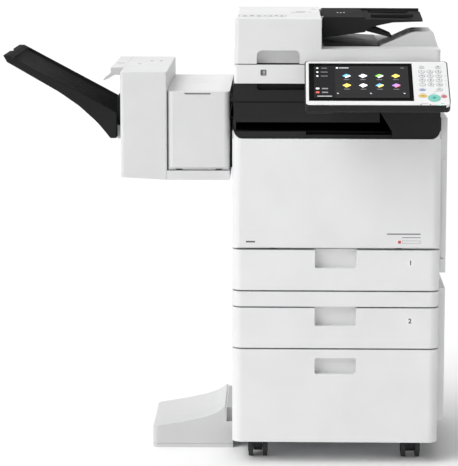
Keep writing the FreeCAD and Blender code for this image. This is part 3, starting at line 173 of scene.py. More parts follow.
def dark_glass(name):
    """The touch screen's black cover glass, with faint smears."""
    material, nodes, links, shader = new_material(name)
    smear = noise(nodes, links, 28.0, 4.0, 0.6)
    shade = tinted(nodes, links, smear, (0.0010, 0.0010, 0.0012), (0.0016, 0.0016, 0.0018))
    links.new(shade, shader.inputs["Base Color"])
    links.new(spread(nodes, links, smear, 0.10, 0.2), shader.inputs["Roughness"])
    grain(nodes, links, shader, noise(nodes, links, 60.0), 0.02, 0.00005)
    shader.inputs["IOR"].default_value = 1.3
    shader.inputs["Specular IOR Level"].default_value = 0.05
    return material


def clear_glass(name):
    material, nodes, links, shader = new_material(name)
    smear = noise(nodes, links, 24.0, 4.0, 0.6)
    shade = tinted(nodes, links, smear, (0.80, 0.87, 0.86), (0.86, 0.92, 0.91))
    links.new(shade, shader.inputs["Base Color"])
    links.new(spread(nodes, links, smear, 0.02, 0.07), shader.inputs["Roughness"])
    grain(nodes, links, shader, noise(nodes, links, 40.0), 0.01, 0.00005)
    shader.inputs["Transmission Weight"].default_value = 0.9
    shader.inputs["IOR"].default_value = 1.52
    return material


def display(name, colour, glow):
    """A lit patch of the screen."""
    material, nodes, links, shader = new_material(name)
    cells = noise(nodes, links, 400.0, 1.0)
    dark = [channel * 0.92 for channel in colour]
    shade = tinted(nodes, links, cells, dark, colour)
    links.new(shade, shader.inputs["Base Color"])
    links.new(shade, shader.inputs["Emission Color"])
    links.new(spread(nodes, links, cells, 0.3, 0.4), shader.inputs["Roughness"])
    grain(nodes, links, shader, cells, 0.02, 0.00005)
    shader.inputs["IOR"].default_value = 1.2
    shader.inputs["Specular IOR Level"].default_value = 0.2
    shader.inputs["Emission Strength"].default_value = glow
    return material


WHITE = plastic("white_plastic", (0.72, 0.72, 0.725), 0.46)
COOL_WHITE = plastic("feeder_white", (0.69, 0.69, 0.695), 0.44)
PALE_GREY = plastic("pale_grey_plastic", (0.56, 0.56, 0.565), 0.5)
MID_GREY = plastic("mid_grey_plastic", (0.36, 0.36, 0.365), 0.5)
PANEL_WHITE = plastic("panel_white", (0.76, 0.76, 0.765), 0.38, 1200.0, 0.12)
BLACK = plastic("black_plastic", (0.012, 0.012, 0.013), 0.46, 800.0, 0.35, 0.08, 0.0, 1.3)
# A lighter copy of black_plastic: painted fill light that lifts the shaded delivery bay and the plate behind the
# front cover.
BAY_BLACK_PAINTED_FILL = plastic("bay_black_painted_fill", (0.020, 0.020, 0.021), 0.5, 800.0, 0.35, 0.08, 0.0, 1.3, 0.3)
TRAY_GREY = plastic("cassette_plastic", (0.20, 0.205, 0.21), 0.5)
ENGINE = plastic("engine_plastic", (0.06, 0.06, 0.065), 0.5)
TRAY_BLACK = plastic("tray_black_plastic", (0.022, 0.022, 0.023), 0.75, 600.0, 0.3, 0.08, 0.0, 1.15, 0.12)
FINISHER_WHITE = plastic("finisher_white", (0.655, 0.655, 0.66), 0.46)
PALE_WHITE = plastic("label_white", (0.70, 0.70, 0.705), 0.5, 900.0, 0.1)
GREEN = plastic("release_green", (0.05, 0.42, 0.16), 0.4)
STEEL = metal("zinc_steel", (0.62, 0.63, 0.65), 0.36)
RUBBER = rubber("roller_rubber", (0.022, 0.022, 0.023))
TYRE = rubber("caster_tread", (0.016, 0.016, 0.017))
SCREEN = dark_glass("cover_glass")
SCREW = metal("screw_steel", (0.50, 0.50, 0.51), 0.3)
PORT = plastic("port_plastic", (0.05, 0.05, 0.055), 0.5)
GLASS = clear_glass("platen_glass")
RED_LINE = plastic("legend_red", (0.55, 0.05, 0.06), 0.6, 900.0, 0.1, 0.03, 0.0, 1.25)
KEY_WHITE = plastic("key_white", (0.68, 0.69, 0.70), 0.36, 1400.0, 0.08)
KEY_START = plastic("key_start", (0.16, 0.56, 0.47), 0.3, 1400.0, 0.08, 0.05)
KEY_RESET = plastic("key_reset", (0.70, 0.50, 0.12), 0.36, 1400.0, 0.08)
KEY_STOP = plastic("key_stop", (0.62, 0.24, 0.27), 0.36, 1400.0, 0.08)
KEY_BLUE = plastic("key_blue", (0.36, 0.44, 0.64), 0.36, 1400.0, 0.08)
LEGEND = plastic("legend_grey", (0.03, 0.03, 0.035), 0.6, 900.0, 0.1, 0.03, 0.0, 1.25)
# Grey for printed label bars, and painted shade in the rings round the keys.
GAP_SHADE_AND_PRINT_GREY = plastic("gap_shade_and_print_grey", (0.13, 0.13, 0.135), 0.6, 900.0, 0.1, 0.03, 0.0, 1.25)
LEGEND_PALE = plastic("legend_pale", (0.22, 0.22, 0.23), 0.6, 900.0, 0.1, 0.03, 0.0, 1.25)
TONERS = [
    plastic("toner_" + tone, colour, 0.35)
    for tone, colour in (
        ("yellow", (0.85, 0.66, 0.05)), ("magenta", (0.62, 0.04, 0.22)),
        ("cyan", (0.02, 0.30, 0.60)), ("black", (0.03, 0.03, 0.03)),
    )
]


# ---- Mesh helpers ----
def finish_piece(piece, body, slot):
    bpy.context.scene.collection.objects.link(piece)
    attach(piece, body)
    return piece


def islands(mesh):
    """Connected groups of faces in a bmesh."""
    seen = set()
    for start in mesh.faces:
        if start in seen:
            continue
        seen.add(start)
        stack, group = [start], []
        while stack:
            face = stack.pop()
            group.append(face)
            for edge in face.edges:
                for other in edge.link_faces:
                    if other not in seen:
                        seen.add(other)
                        stack.append(other)
        yield group


def drawn_area(mesh):
    """The area that a mesh's faces cover once they are split into triangles."""
    total = 0.0
    for triangle in mesh.calc_loop_triangles():
        a, b, c = (loop.vert.co for loop in triangle)
        total += (b - a).cross(c - a).length / 2
    return total


def welded(node, merge):
    """A CAD node's surface with its split corners welded and, on request, its flat faces merged.

    The area test catches some bad merges, but not all of those round holes in a flat face.
    """
    mesh = bmesh.new()
    mesh.from_mesh(frame["nodes"][node].data)
    bmesh.ops.remove_doubles(mesh, verts=mesh.verts, dist=2e-6)
    bmesh.ops.dissolve_degenerate(mesh, edges=mesh.edges, dist=1e-6)
    if not merge:
        return mesh
    merged = mesh.copy()
    bmesh.ops.dissolve_limit(
        merged, angle_limit=math.radians(0.6), verts=merged.verts, edges=merged.edges,
        use_dissolve_boundaries=False,
    )
    before, after = drawn_area(mesh), drawn_area(merged)
    if abs(after - before) > before * 2e-5:
        merged.free()
        return mesh
    mesh.free()
    return merged


def rounded_copy(node, width, materials, choose=None, segments=2, merge=True):
    """Stands for a CAD node: its surface welded, its sharp edges rounded, a material for each loose part."""
    source = frame["nodes"][node]
    mesh = welded(node, merge)
    for face in mesh.faces:
        face.material_index = 0
        face.smooth = True
    if choose:
        for group in islands(mesh):
            corners = [vert.co for face in group for vert in face.verts]
            low = Vector(map(min, *corners))
            high = Vector(map(max, *corners))
            index = choose((low - MACHINE) / MM, (high - MACHINE) / MM)
            for face in group:
                face.material_index = index
    data = bpy.data.meshes.new(node + "_skin")
    mesh.to_mesh(data)
    mesh.free()
    piece = bpy.data.objects.new(node + "_skin", data)
    for material in materials:
        data.materials.append(material)
    if width:
        bevel = piece.modifiers.new("edge", "BEVEL")
        bevel.width = width * MM
        bevel.segments = segments
        bevel.limit_method = "ANGLE"
        bevel.angle_limit = math.radians(38)
        bevel.use_clamp_overlap = True
        bevel.miter_outer = "MITER_ARC"
    flat = piece.modifiers.new("flat", "WEIGHTED_NORMAL")
    flat.weight = 90
    flat.keep_sharp = True
    data.set_sharp_from_angle(angle=math.radians(34))
    slot = next(part["material_slot"] for part in frame["record"]["subparts"] if part["node"] == node)
    finish_piece(piece, source["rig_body"], slot)
    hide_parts(node)
    return piece


def repaint(node, material):
    for slot in frame["nodes"][node].material_slots:
        slot.link = "OBJECT"
        slot.material = material


def slab(name, outline, origin, right, up, depth, body, slot, material, soften=0.0):
    """A flat piece with a given outline, standing out of a plane by its depth."""
    normal = right.cross(up)
    mesh = bmesh.new()
    base = [mesh.verts.new(origin + right * (x * MM) + up * (y * MM)) for x, y in outline]
    face = mesh.faces.new(base)
    grown = bmesh.ops.extrude_face_region(mesh, geom=[face])
    raised = [part for part in grown["geom"] if isinstance(part, bmesh.types.BMVert)]
    bmesh.ops.translate(mesh, verts=raised, vec=normal * (depth * MM))
    bmesh.ops.recalc_face_normals(mesh, faces=mesh.faces)
    if soften:
        rim = [edge for edge in mesh.edges if all(vert in raised for vert in edge.verts)]
        bmesh.ops.bevel(mesh, geom=rim, offset=soften * MM, segments=2, profile=0.5, affect="EDGES")
    data = bpy.data.meshes.new(name)
    mesh.to_mesh(data)
    mesh.free()
    data.materials.append(material)
    return finish_piece(bpy.data.objects.new(name, data), body, slot)


def round_rect(x, y, width, height, radius, steps=5):
    """The outline of a rounded rectangle centred on (x, y)."""
    points = []
    for turn, (sx, sy) in enumerate(((1, 1), (-1, 1), (-1, -1), (1, -1))):
        cx = x + sx * (width / 2 - radius)
        cy = y + sy * (height / 2 - radius)
        for step in range(steps + 1):
            angle = math.radians(90 * (turn + step / steps))
            points.append((cx + radius * math.cos(angle), cy + radius * math.sin(angle)))
    return points


def circle(x, y, radius, steps=28):
    return [
        (x + radius * math.cos(2 * math.pi * step / steps), y + radius * math.sin(2 * math.pi * step / steps))
        for step in range(steps)
    ]


def lettering(name, text, size, origin, right, up, body, slot, material, depth=0.06, swell=0.0):
    """A raised character, centred on its origin; swell thickens its strokes."""
    curve = bpy.data.curves.new(name, "FONT")
    curve.body = text
    curve.size = size * MM
    curve.extrude = depth * MM
    curve.offset = swell * MM
    curve.align_x = "CENTER"
    curve.align_y = "CENTER"
    curve.resolution_u = 3
    source = bpy.data.objects.new(name + "_curve", curve)
    data = bpy.data.meshes.new_from_object(source)
    bpy.data.objects.remove(source)
    basis = Matrix((right, up, right.cross(up))).transposed().to_4x4()
    data.transform(Matrix.Translation(origin) @ basis)
    data.materials.append(material)
    data.name = name
    return finish_piece(bpy.data.objects.new(name, data), body, slot)


# ---- CAD nodes with rounded edges and finished surfaces ----
def dress_nodes():
    for node in ("cassette_1_front", "cassette_2_front", "storage_drawer_front", "front_cover"):
        rounded_copy(node, 1.0, [WHITE])
    rounded_copy("engine_covers", 0.8, [WHITE, BAY_BLACK_PAINTED_FILL], choose_covers, merge=False)
    rounded_copy("pedestal_covers", 0.8, [WHITE])
    rounded_copy("right_door", 1.2, [WHITE])
    rounded_copy("lower_right_door", 1.2, [WHITE])
    rounded_copy("bypass_tray", 1.0, [WHITE, MID_GREY], lambda low, high: int(high.x < 262))
    # The bay's black is lightened by painted fill light.
    rounded_copy("delivery_bay", 1.0, [BAY_BLACK_PAINTED_FILL, RUBBER], choose_bay)
    rounded_copy("reader_housing", 1.2, [WHITE, STEEL, STEEL], lambda low, high: int(high.z - low.z < 12))
    rounded_copy("adf_base", 1.6, [COOL_WHITE, PALE_GREY, RUBBER, MID_GREY, BLACK], choose_feeder)
    rounded_copy("adf_feed_cover", 1.2, [COOL_WHITE])
    rounded_copy("adf_input_tray", 1.2, [TRAY_BLACK])
    rounded_copy("adf_guide_front", 0.8, [TRAY_BLACK])
    rounded_copy("adf_guide_rear", 0.8, [TRAY_BLACK])
    rounded_copy("panel_housing", 1.5, [BLACK])
    rounded_copy("panel_bezel", 0.7, [PANEL_WHITE])
    rounded_copy("touch_screen", 0.3, [SCREEN])
    rounded_copy("finisher_housing", 1.4, [FINISHER_WHITE, BLACK, ENGINE, GREEN], choose_finisher)
    rounded_copy("finisher_cover", 1.4, [FINISHER_WHITE])
    rounded_copy("finisher_tray", 0.9, [TRAY_BLACK])
    rounded_copy("finisher_stack_flag", 0.6, [WHITE])
    rounded_copy("stabiliser_foot", 2.0, [PALE_GREY, MID_GREY], lambda low, high: int(low.z > 50))
    rounded_copy("power_inlet", 0.4, [BLACK, STEEL], lambda low, high: int(high.x - low.x < 10))
    rounded_copy("toner_cartridges", 1.0, TONERS, lambda low, high: round((low.x + 179) / 80))
    rounded_copy("print_engine_modules", 1.0, [ENGINE, TRAY_GREY], lambda low, high: int(high.z < 570))
    for node in ("cassette_1_tray", "cassette_2_tray", "storage_drawer_box"):
        rounded_copy(node, 0.6, [TRAY_GREY])
    rounded_copy("scan_carriage", 0.5, [ENGINE, PANEL_WHITE], lambda low, high: int(low.z > 951))
    repaint("chassis", STEEL)
    repaint("platen_glass", GLASS)
    for corner in ("front_left", "front_right", "rear_left", "rear_right"):
        rounded_copy("caster_fork_" + corner, 0.6, [BLACK])
        rounded_copy("caster_wheels_" + corner, 0.5, [TYRE, BLACK], lambda low, high: int(high.x - low.x < 2))
    for node in frame["nodes"]:
        if node.startswith("key_"):
            rounded_copy(node, 0.35, [KEY_WHITE])
    rounded_copy("settings_key", 0.35, [KEY_WHITE])
    rounded_copy("energy_saver_key", 0.35, [KEY_WHITE])
    rounded_copy("id_key", 0.35, [KEY_BLUE])
    rounded_copy("clear_key", 0.35, [KEY_WHITE])
    rounded_copy("reset_key", 0.35, [KEY_RESET])
    rounded_copy("start_key", 0.5, [KEY_START])
    rounded_copy("stop_key", 0.35, [KEY_STOP])


def choose_covers(low, high):
    """The plate behind the front cover is black, lightened by painted fill light; the outer covers are white."""
    return int(high.y < 40 and low.x > -240)


def choose_bay(low, high):
    """The long thin parts of the bay are its rollers."""
    return int(high.x - low.x < 15 < high.y - low.y)


def choose_feeder(low, high):
    if high.x - low.x > 300:
        return 0
    if high.x - low.x < 40:
        return 2
    return 1 if high.z > 1030 else 4


def choose_finisher(low, high):
    if high.y - low.y > 440:
        return 0
    if low.x > -256:
        return 1
    return 3 if high.x - low.x < 30 else 2


# ---- Control panel details ----
def on_screen(x, y, lift=0.0):
    """A point on the cover glass, from its lower left corner."""
    return SCREEN_CORNER + (PANEL_RIGHT * x + PANEL_UP * y + PANEL_NORMAL * lift) * MM


def screen_patch(name, outline, material, lift):
    return slab(
        "screen_" + name, outline, on_screen(0, 0, lift), PANEL_RIGHT, PANEL_UP, 0.04, "control_panel",
        "screen_glass", material,
    )


def dress_screen():
    """A generic menu: a side bar, eight function tiles and a status line."""
    base = display("screen_base", (0.018, 0.018, 0.019), 0.6)
    side = display("screen_side", (0.011, 0.011, 0.012), 0.5)
    pale = display("screen_pale", (0.75, 0.76, 0.78), 0.6)
    dim = display("screen_dim", (0.25, 0.25, 0.26), 0.6)
    tones = {
        "blue": display("icon_blue", (0.16, 0.48, 0.85), 0.8),
        "white": display("icon_white", (0.85, 0.86, 0.88), 0.8),
        "green": display("icon_green", (0.24, 0.62, 0.10), 0.8),
        "yellow": display("icon_yellow", (0.90, 0.66, 0.14), 0.8),
        "violet": display("icon_violet", (0.42, 0.24, 0.72), 0.8),
        "pink": display("icon_pink", (0.85, 0.22, 0.38), 0.8),
        "red": display("icon_red", (0.80, 0.12, 0.08), 0.8),
    }
    screen_patch("base", round_rect(121.5, 76.0, 219, 126, 1.0), base, 0.05)
    screen_patch("side", round_rect(36.5, 76.0, 49, 124, 0.5), side, 0.12)
    tiles = (
        ("blue", "white"), ("white", "white"), ("green", "white"), ("yellow", "yellow"),
        ("yellow", "yellow"), ("white", "white"), ("blue", "yellow"), ("violet", "pink"),
    )
    for index, (main, second) in enumerate(tiles):
        x = 87.5 + 38.0 * (index % 4)
        y = 100.0 - 38.0 * (index // 4)
        leaf = [(x - 10, y), (x, y + 8), (x + 10, y + 2), (x, y - 8)]
        fold = [(x - 2, y - 9), (x + 10, y - 1), (x + 7, y + 4), (x - 4, y - 4)]
        screen_patch(f"tile_{index}", leaf, tones[main], 0.14)
        screen_patch(f"fold_{index}", fold, tones[second], 0.20)
        screen_patch(f"caption_{index}", round_rect(x, y - 15, 13, 1.6, 0.6), dim, 0.14)
    screen_patch("title_mark", circle(66, 132, 3.0), pale, 0.14)
    screen_patch("title", round_rect(82, 132, 22, 2.4, 0.8), pale, 0.14)
    screen_patch("date", round_rect(218, 132, 8, 1.8, 0.6), dim, 0.14)
    for row, y in enumerate((131, 115, 99)):
        screen_patch(f"side_mark_{row}", circle(20, y, 2.8), pale, 0.16)
        screen_patch(f"side_text_{row}", round_rect(36, y, 16 - 3 * (row == 0), 2.0, 0.7), dim, 0.16)
    for row, (y, tone) in enumerate(((49, tones["white"]), (34, tones["red"]))):
        screen_patch(f"state_mark_{row}", round_rect(20, y, 8, 6, 1.6), tone, 0.16)
        screen_patch(f"state_text_{row}", round_rect(37, y, 14, 4.5, 0.8), dim, 0.16)
    screen_patch("status", round_rect(36, 19, 34, 1.8, 0.6), pale, 0.16)
    for index, x in enumerate((67, 143, 220)):
        screen_patch(f"arrow_{index}", [(x - 2, 28), (x + 2.4, 30.2), (x - 2, 32.4)], pale, 0.14)


KEY_REACH = 3.12
KEY_LEGENDS = {"key_star": "*", "key_hash": "#", "id_key": "ID", "clear_key": "C"}
KEY_LEGENDS.update({f"key_{digit}": str(digit) for digit in range(10)})


def key_top(node):
    """The middle of a key's upper face."""
    low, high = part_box(node)
    middle = (low + high) / 2
    reach = KEY_REACH * MM
    return middle + PANEL_NORMAL * reach


def key_outline(node):
    """A key's half width and half height on the panel's face, and its middle there."""
    low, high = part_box(node)
    half_width = (high.x - low.x) / 2 / MM
    offset = key_top(node) - on_bezel(0, 0)
    return half_width, offset.dot(PANEL_RIGHT) / MM, offset.dot(PANEL_UP) / MM


def ring(name, outer, inner, material):
    """A thin line round a key on the panel's white face, between two outlines with equal counts of points."""
    mesh = bmesh.new()
    loops = []
    for outline, lift in ((outer, 0.0), (outer, 0.05), (inner, 0.05), (inner, 0.0)):
        loops.append([mesh.verts.new(on_bezel(x, y, lift)) for x, y in outline])
    for loop, after in zip(loops, loops[1:]):
        for index in range(len(loop)):
            onward = (index + 1) % len(loop)
            mesh.faces.new((loop[index], loop[onward], after[onward], after[index]))
    bmesh.ops.recalc_face_normals(mesh, faces=mesh.faces)
    data = bpy.data.meshes.new(name)
    mesh.to_mesh(data)
    mesh.free()
    data.materials.append(material)
    finish_piece(bpy.data.objects.new(name, data), "control_panel", "panel_white")


def dress_rings():
    for node, (height, line) in RINGED.items():
        half, x, y = key_outline(node)
        half_height = height or half
        outer = round_rect(x, y, 2 * (half + line), 2 * (half_height + line), half_height + line - 0.01, 8)
        inner = round_rect(x, y, 2 * half + 0.7, 2 * half_height + 0.7, half_height + 0.34, 8)
        # The grey ring is painted shade of the narrow gap between the key and the white face.
        tone = RED_LINE if node == "stop_key" else GAP_SHADE_AND_PRINT_GREY
        ring(node + "_ring", outer, inner, tone)


RINGED = {f"key_{digit}": (None, 1.0) for digit in range(10)}
RINGED.update({
    "key_star": (None, 1.0), "key_hash": (None, 1.0), "clear_key": (None, 1.0), "stop_key": (None, 1.1),
    "id_key": (4.25, 0.9), "settings_key": (4.0, 0.9), "energy_saver_key": (4.0, 0.9),
    "start_key": (None, 0.8),
})


def dress_keys():
    for node, text in KEY_LEGENDS.items():
        size = 5.6 if len(text) == 2 else 9.0
        lettering(
            node + "_legend", text, size, key_top(node), PANEL_RIGHT, PANEL_UP, "press_" + node,
            "key_plastic", LEGEND,
        )
    bars = {
        "settings_key": ((0, 1.2, 5.5, 0.7), (0, -1.2, 5.5, 0.7)),
        "energy_saver_key": ((0, 0, 4.6, 3.0),),
        "reset_key": ((0, 0, 8.5, 0.9), (0, -2.2, 5.0, 0.9)),
        "stop_key": ((0, 0, 3.6, 3.6),),
    }
    slots = {"reset_key": "reset_key", "stop_key": "stop_key"}
    for node, marks in bars.items():
        for index, (x, y, width, height) in enumerate(marks):
            slab(
                f"{node}_mark_{index}", round_rect(x, y, width, height, min(width, height) * 0.3),
                key_top(node), PANEL_RIGHT, PANEL_UP, 0.06, "press_" + node, slots.get(node, "key_plastic"), LEGEND,
            )
    diamond = [(-5.2, 0), (0, -5.2), (5.2, 0), (0, 5.2)]
    slab(
        "start_key_mark", diamond, key_top("start_key"), PANEL_RIGHT, PANEL_UP, 0.08, "press_start_key",
        "start_key", plastic("start_mark", (0.03, 0.30, 0.24), 0.4),
    )
    for index, (x, y) in enumerate(((248.5, 117.0), (248.5, 98.5), (248.5, 81.5))):
        panel_mark(f"side_symbol_{index}", x, y, 5.0 - index, 1.1)
    for name, x, y, width in (
        ("settings", 195.2, 145.8, 14.0), ("saver", 233.1, 145.8, 12.0), ("clear", 224, 54.5, 8.0),
        ("start", 219.1, 47.0, 9.0), ("stop", 241.6, 44.0, 8.0), ("reset", 193.0, 46.5, 10.0),
        ("lamps", 196.0, 7.0, 16.0), ("lamp_main", 236.5, 7.0, 9.0),
    ):
        panel_mark("label_" + name, x, y, width, 1.0)


def on_bezel(x, y, lift=0.0):
    """A point on the panel's white face: x from the body's middle, y up from the face's lower edge."""
    lower = Vector((MACHINE.x, screen_low.y, SCREEN_CORNER.z))
    offset = PANEL_RIGHT * x + PANEL_UP * (y - GLASS_LOWER_MARGIN) + PANEL_NORMAL * (BEZEL_RISE + lift)
    return lower + offset * MM


GLASS_LOWER_MARGIN = 16.5


def panel_mark(name, x, y, width, height):
    slab(
        "panel_" + name, round_rect(0, 0, width, height, height * 0.4), on_bezel(x, y), PANEL_RIGHT, PANEL_UP,
        0.05, "control_panel", "panel_white", LEGEND_PALE,
    )


def dress_panel_lip():
    """Three status lamps where the white face meets the black lip."""
    lit = display("lamp_green", (0.12, 0.85, 0.55), 2.0)
    off = display("lamp_off", (0.30, 0.30, 0.31), 0.0)
    for index, x in enumerate((187.5, 209.0, 231.0)):
        slab(
            f"lamp_{index}", round_rect(0, 0, 2.6, 5.0, 1.2), on_bezel(x, 2.6, -0.02), PANEL_RIGHT, PANEL_UP,
            0.25, "control_panel", "panel_white", lit if index == 2 else off, 0.08,
        )


# ---- Marks on the covers ----
FACING_FRONT = (Vector((1, 0, 0)), Vector((0, 0, 1)))
FACING_UP = (Vector((1, 0, 0)), Vector((0, 1, 0)))


def front_mark(name, x, z, width, height, y, body, slot, material, depth=0.12):
    slab(name, round_rect(0, 0, width, height, min(width, height) * 0.2), at(x, y, z), *FACING_FRONT,
         depth, body, slot, material)


def dress_covers():
    for name, text, z, body in (("one", "1", 493.0, "cassette_1"), ("two", "2", 351.8, "cassette_2")):
        slab("drawer_disc_" + name, circle(0, 0, 9.0), at(178.0, 0, z), *FACING_FRONT, 0.15, body,
             "white_plastic", PANEL_WHITE)
        lettering("drawer_number_" + name, text, 16.0, at(178.0, -0.18, z), *FACING_FRONT, body,
                  "white_plastic", LEGEND, 0.08, 0.4)
    dark = plastic("badge_grey", (0.09, 0.09, 0.095), 0.5)
    front_mark("badge", -174.0, 947.0, 14.0, 14.0, 3.0, "machine", "white_plastic", dark, 0.5)
    for index, z in enumerate((950.5, 947.0, 943.5)):
        front_mark(f"badge_bar_{index}", -172.5, z, 6.0, 1.6, 2.5, "machine", "white_plastic", PALE_GREY,
                   0.25)
    front_mark("cover_label", 161.0, 563.0, 80.0, 2.6, 0.0, "front_door", "white_plastic", GAP_SHADE_AND_PRINT_GREY)
    front_mark("cover_line", 179.0, 554.5, 44.0, 1.8, 0.0, "front_door", "white_plastic", LEGEND_PALE)
    front_mark("cover_chip", 151.0, 543.5, 7.0, 6.6, 0.0, "front_door", "white_plastic", RED_LINE)
    front_mark("cover_frame", 179.0, 543.5, 44.0, 7.4, 0.0, "front_door", "white_plastic", LEGEND_PALE)
    front_mark("cover_frame_inner", 179.0, 543.5, 42.6, 6.0, -0.12, "front_door", "white_plastic",
               PALE_WHITE, 0.06)
    front_mark("cover_tag", -204.0, 543.5, 22.0, 4.0, 0.0, "front_door", "white_plastic", GAP_SHADE_AND_PRINT_GREY)


FACING_BACK = (Vector((-1, 0, 0)), Vector((0, 0, 1)))


def screw(name, place, right, up, body, slot="white_plastic"):
    """A pan-head screw with a cross recess."""
    normal = right.cross(up)
    mesh = bmesh.new()
    rings = []
    for radius, lift in ((3.6, 0.0), (3.5, 0.7), (2.7, 1.15), (1.9, 1.25)):
        rings.append([
            mesh.verts.new(place + (right * x + up * y + normal * lift) * MM)
            for x, y in circle(0, 0, radius, 16)
        ])
    for low, high in zip(rings, rings[1:]):
        for index in range(16):
            onward = (index + 1) % 16
            mesh.faces.new((low[index], low[onward], high[onward], high[index]))
    cross = []
    for index in range(16):
        reach = 1.5 if index % 4 == 0 else 0.45
        angle = 2 * math.pi * index / 16
        spot = right * (reach * math.cos(angle)) + up * (reach * math.sin(angle))
        cross.append((spot, mesh.verts.new(place + (spot + normal * 1.25) * MM)))
    for index in range(16):
        onward = (index + 1) % 16
        mesh.faces.new((rings[-1][index], rings[-1][onward], cross[onward][1], cross[index][1]))
    floor = [mesh.verts.new(place + (spot * 0.7 + normal * 0.5) * MM) for spot, _ in cross]
    for index in range(16):
        onward = (index + 1) % 16
        mesh.faces.new((cross[index][1], cross[onward][1], floor[onward], floor[index]))
    mesh.faces.new(floor)
    bmesh.ops.recalc_face_normals(mesh, faces=mesh.faces)
    data = bpy.data.meshes.new(name)
    mesh.to_mesh(data)
    mesh.free()
    data.materials.append(SCREW)
    finish_piece(bpy.data.objects.new(name, data), body, slot)


def dress_back():
    """Screws, a connector plate and cable hooks on the rear covers."""
    for index, (x, z) in enumerate((
        (-232, 420), (232, 420), (-232, 612), (232, 612), (-232, 792), (232, 792), (0, 792), (0, 420),
        (-232, 68), (232, 68), (-232, 388), (232, 388), (0, 68), (0, 388), (-232, 230), (232, 230),
    )):
        screw(f"rear_screw_{index}", at(x, 505, z), *FACING_BACK, "machine")
    for index, x in enumerate((-200, -70, 60, 200)):
        screw(f"feeder_screw_{index}", at(x, 498, 985), *FACING_BACK, "document_feeder")
    plate = at(120, 505, 640)
    slab("port_plate", round_rect(0, 0, 74, 96, 5), plate, *FACING_BACK, 0.8, "machine", "white_plastic",
         PALE_GREY, 0.4)
    raised = plate + Vector((0, 0.8, 0)) * MM
    for index, (x, y, width, height) in enumerate((
        (-18, 28, 15, 12), (6, 28, 13, 6), (26, 28, 12, 11), (-16, 4, 20, 8), (14, 4, 9, 9), (0, -26, 52, 18),
    )):
        slab(f"port_{index}", round_rect(x, y, width, height, 1.2), raised, *FACING_BACK, 0.5, "machine",
             "black_plastic", PORT, 0.2)
    for index, z in enumerate((715, 640, 560)):
        slab(f"cable_hook_{index}", round_rect(0, 0, 10, 22, 3), at(205, 505, z), *FACING_BACK, 6.0,
             "machine", "white_plastic", WHITE, 1.0)


def top_frame(name, x, y, width, depth, line, height, body, material):
    """A thin rectangular outline lying on a top face."""
    bars = (
        (x, y - depth / 2, width, 2.2 * line), (x, y + depth / 2, width, 2.2 * line),
        (x - width / 2, y, line, depth), (x + width / 2, y, line, depth),
    )
    for index, (bar_x, bar_y, bar_width, bar_depth) in enumerate(bars):
        slab(f"{name}_{index}", round_rect(bar_x, bar_y, bar_width, bar_depth, line * 0.4), at(0, 0, height),
             *FACING_UP, 0.1, body, "white_plastic", material)


def top_block(name, x, y, width, depth, height, body, material, slot="white_plastic"):
    slab(name, round_rect(x, y, width, depth, min(width, depth) * 0.2), at(0, 0, height), *FACING_UP, 0.12,
         body, slot, material)


def dress_top():
    """Loading pictograms on the feeder and finisher, and size marks on the sheet tray."""
    feeder = frame["nodes"]["adf_feed_cover"]["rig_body"]
    for index, (left, right) in enumerate(((-233, -173), (-168, -121))):
        middle, width = (left + right) / 2, right - left
        top_frame(f"guide_frame_{index}", middle, 128, width, 62, 1.4, 1073.0, feeder, LEGEND_PALE)
        for part in range(3):
            top_block(f"guide_page_{index}_{part}", left + width * (0.22 + 0.28 * part), 120 + 8 * (part % 2),
                      width * 0.16, 26, 1073.0, feeder, LEGEND_PALE)
    for index, (x, y, width) in enumerate(((-92, 262, 34), (-84, 292, 26), (-62, 276, 8), (-52, 392, 12))):
        top_block(f"guide_arrow_{index}", x, y, width, 12, 1073.0, feeder, LEGEND_PALE)
    tray = frame["nodes"]["adf_input_tray"]["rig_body"]
    for index, x in enumerate((6, 14, 22)):
        top_block(f"tray_mark_{index}", x, 276 - 8 * (index % 2), 3.6, 16, 1072.0, tray, PALE_WHITE,
                  "black_plastic")
    for index, (x, y) in enumerate(((-457, 346), (-433, 346), (-482, 255))):
        top_block(f"finisher_mark_{index}", x, y, 8, 14, 946.0, "machine", LEGEND_PALE)


def box_piece(name, low, high, body, slot, material, soften=0.3):
    """A plain block between two corners in machine coordinates."""
    width, depth, height = (b - a for a, b in zip(low, high))
    middle = at((low[0] + high[0]) / 2, (low[1] + high[1]) / 2, low[2])
    right, back = width / 2, depth / 2
    slab(name, [(-right, -back), (right, -back), (right, back), (-right, back)], middle, *FACING_UP, height, body, slot, material, soften)


def dress_gaps():
    """The dark gasket under the feeder's rim, and the pale cover at the finisher tray's root."""
    body = frame["nodes"]["adf_base"]["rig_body"]
    low, high = 965.7, 967.5
    bars = (
        ("front", (-234, 7, low), (234, 11, high)), ("back", (-150, 478, low), (150, 482, high)),
        ("left", (-238, 11, low), (-234, 470, high)), ("right", (234, 11, low), (238, 470, high)),
    )
    for name, near, far in bars:
        box_piece("gasket_" + name, near, far, body, "black_plastic", BLACK, 0.2)
    tray = frame["nodes"]["finisher_tray"]["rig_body"]
    box_piece("tray_root_cover", (-526.6, 99.0, 779.4), (-515.4, 100.0, 811.0), tray, "black_plastic",
              FINISHER_WHITE, 0.2)


def main():
    dress_nodes()
    dress_back()
    dress_top()
    dress_gaps()
    dress_screen()
    dress_keys()
    dress_rings()
    dress_panel_lip()
    dress_covers()


main()


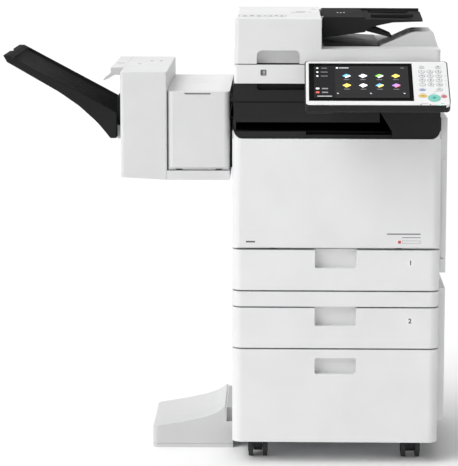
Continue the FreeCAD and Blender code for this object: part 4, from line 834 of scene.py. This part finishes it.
# ---- Floor, light and camera ----
def make_stage():
    mesh = bmesh.new()
    bmesh.ops.create_grid(mesh, x_segments=6, y_segments=6, size=40.0)
    data = bpy.data.meshes.new("floor")
    mesh.to_mesh(data)
    mesh.free()
    floor = bpy.data.objects.new("floor", data)
    material, nodes, links, shader = new_material("floor_paper")
    links.new(tinted(nodes, links, noise(nodes, links, 0.6), (0.90, 0.90, 0.90), (0.93, 0.93, 0.93)),
              shader.inputs["Base Color"])
    shader.inputs["Roughness"].default_value = 0.9
    shader.inputs["Specular IOR Level"].default_value = 0.2
    data.materials.append(material)
    bpy.context.scene.collection.objects.link(floor)


def sun(name, source, strength, softness):
    """A soft distant light from a direction, its strength in units of a white floor's brightness."""
    data = bpy.data.lights.new(name, "SUN")
    data.energy = strength * math.pi
    data.angle = math.radians(softness)
    light = bpy.data.objects.new(name, data)
    light.rotation_mode = "QUATERNION"
    light.rotation_quaternion = (-Vector(source)).to_track_quat("-Z", "Y")
    bpy.context.scene.collection.objects.link(light)


def make_light():
    """A soft key from the front left, a weak fill and a light tent that is bright round the horizon."""
    sun("key", (-0.62, -0.42, 0.66), 0.62, 45)
    sun("fill", (-0.10, -0.90, 0.42), 0.08, 70)
    sun("top", (-0.25, 0.10, 1.0), 0.38, 60)
    sun("back", (-0.10, 0.88, 0.45), 0.22, 70)
    world = bpy.data.worlds.new("studio")
    world.use_nodes = True
    nodes = world.node_tree.nodes
    links = world.node_tree.links
    place = nodes.new("ShaderNodeTexCoord")
    parts = nodes.new("ShaderNodeSeparateXYZ")
    level = nodes.new("ShaderNodeMapRange")
    level.inputs["From Min"].default_value = 0.12
    level.inputs["From Max"].default_value = 0.5
    level.inputs["To Min"].default_value = 1.0
    level.inputs["To Max"].default_value = 0.12
    links.new(place.outputs["Generated"], parts.inputs["Vector"])
    links.new(parts.outputs["Z"], level.inputs["Value"])
    nodes["Background"].inputs["Color"].default_value = (1, 1, 1, 1)
    links.new(level.outputs["Result"], nodes["Background"].inputs["Strength"])
    bpy.context.scene.world = world
    bpy.context.scene.view_settings.view_transform = "Standard"


def make_camera():
    data = bpy.data.cameras.new("camera")
    data.sensor_width = 36.0
    data.lens = 175.0
    data.clip_start, data.clip_end = 0.1, 60
    camera = bpy.data.objects.new("camera", data)
    camera.location = at(-129.6, -5332.0, 1415.0)
    aim = at(-255.2, 0.0, 564.2)
    camera.rotation_mode = "QUATERNION"
    camera.rotation_quaternion = (aim - camera.location).to_track_quat("-Z", "Y")
    bpy.context.scene.collection.objects.link(camera)
    bpy.context.scene.camera = camera


make_stage()
make_light()
make_camera()
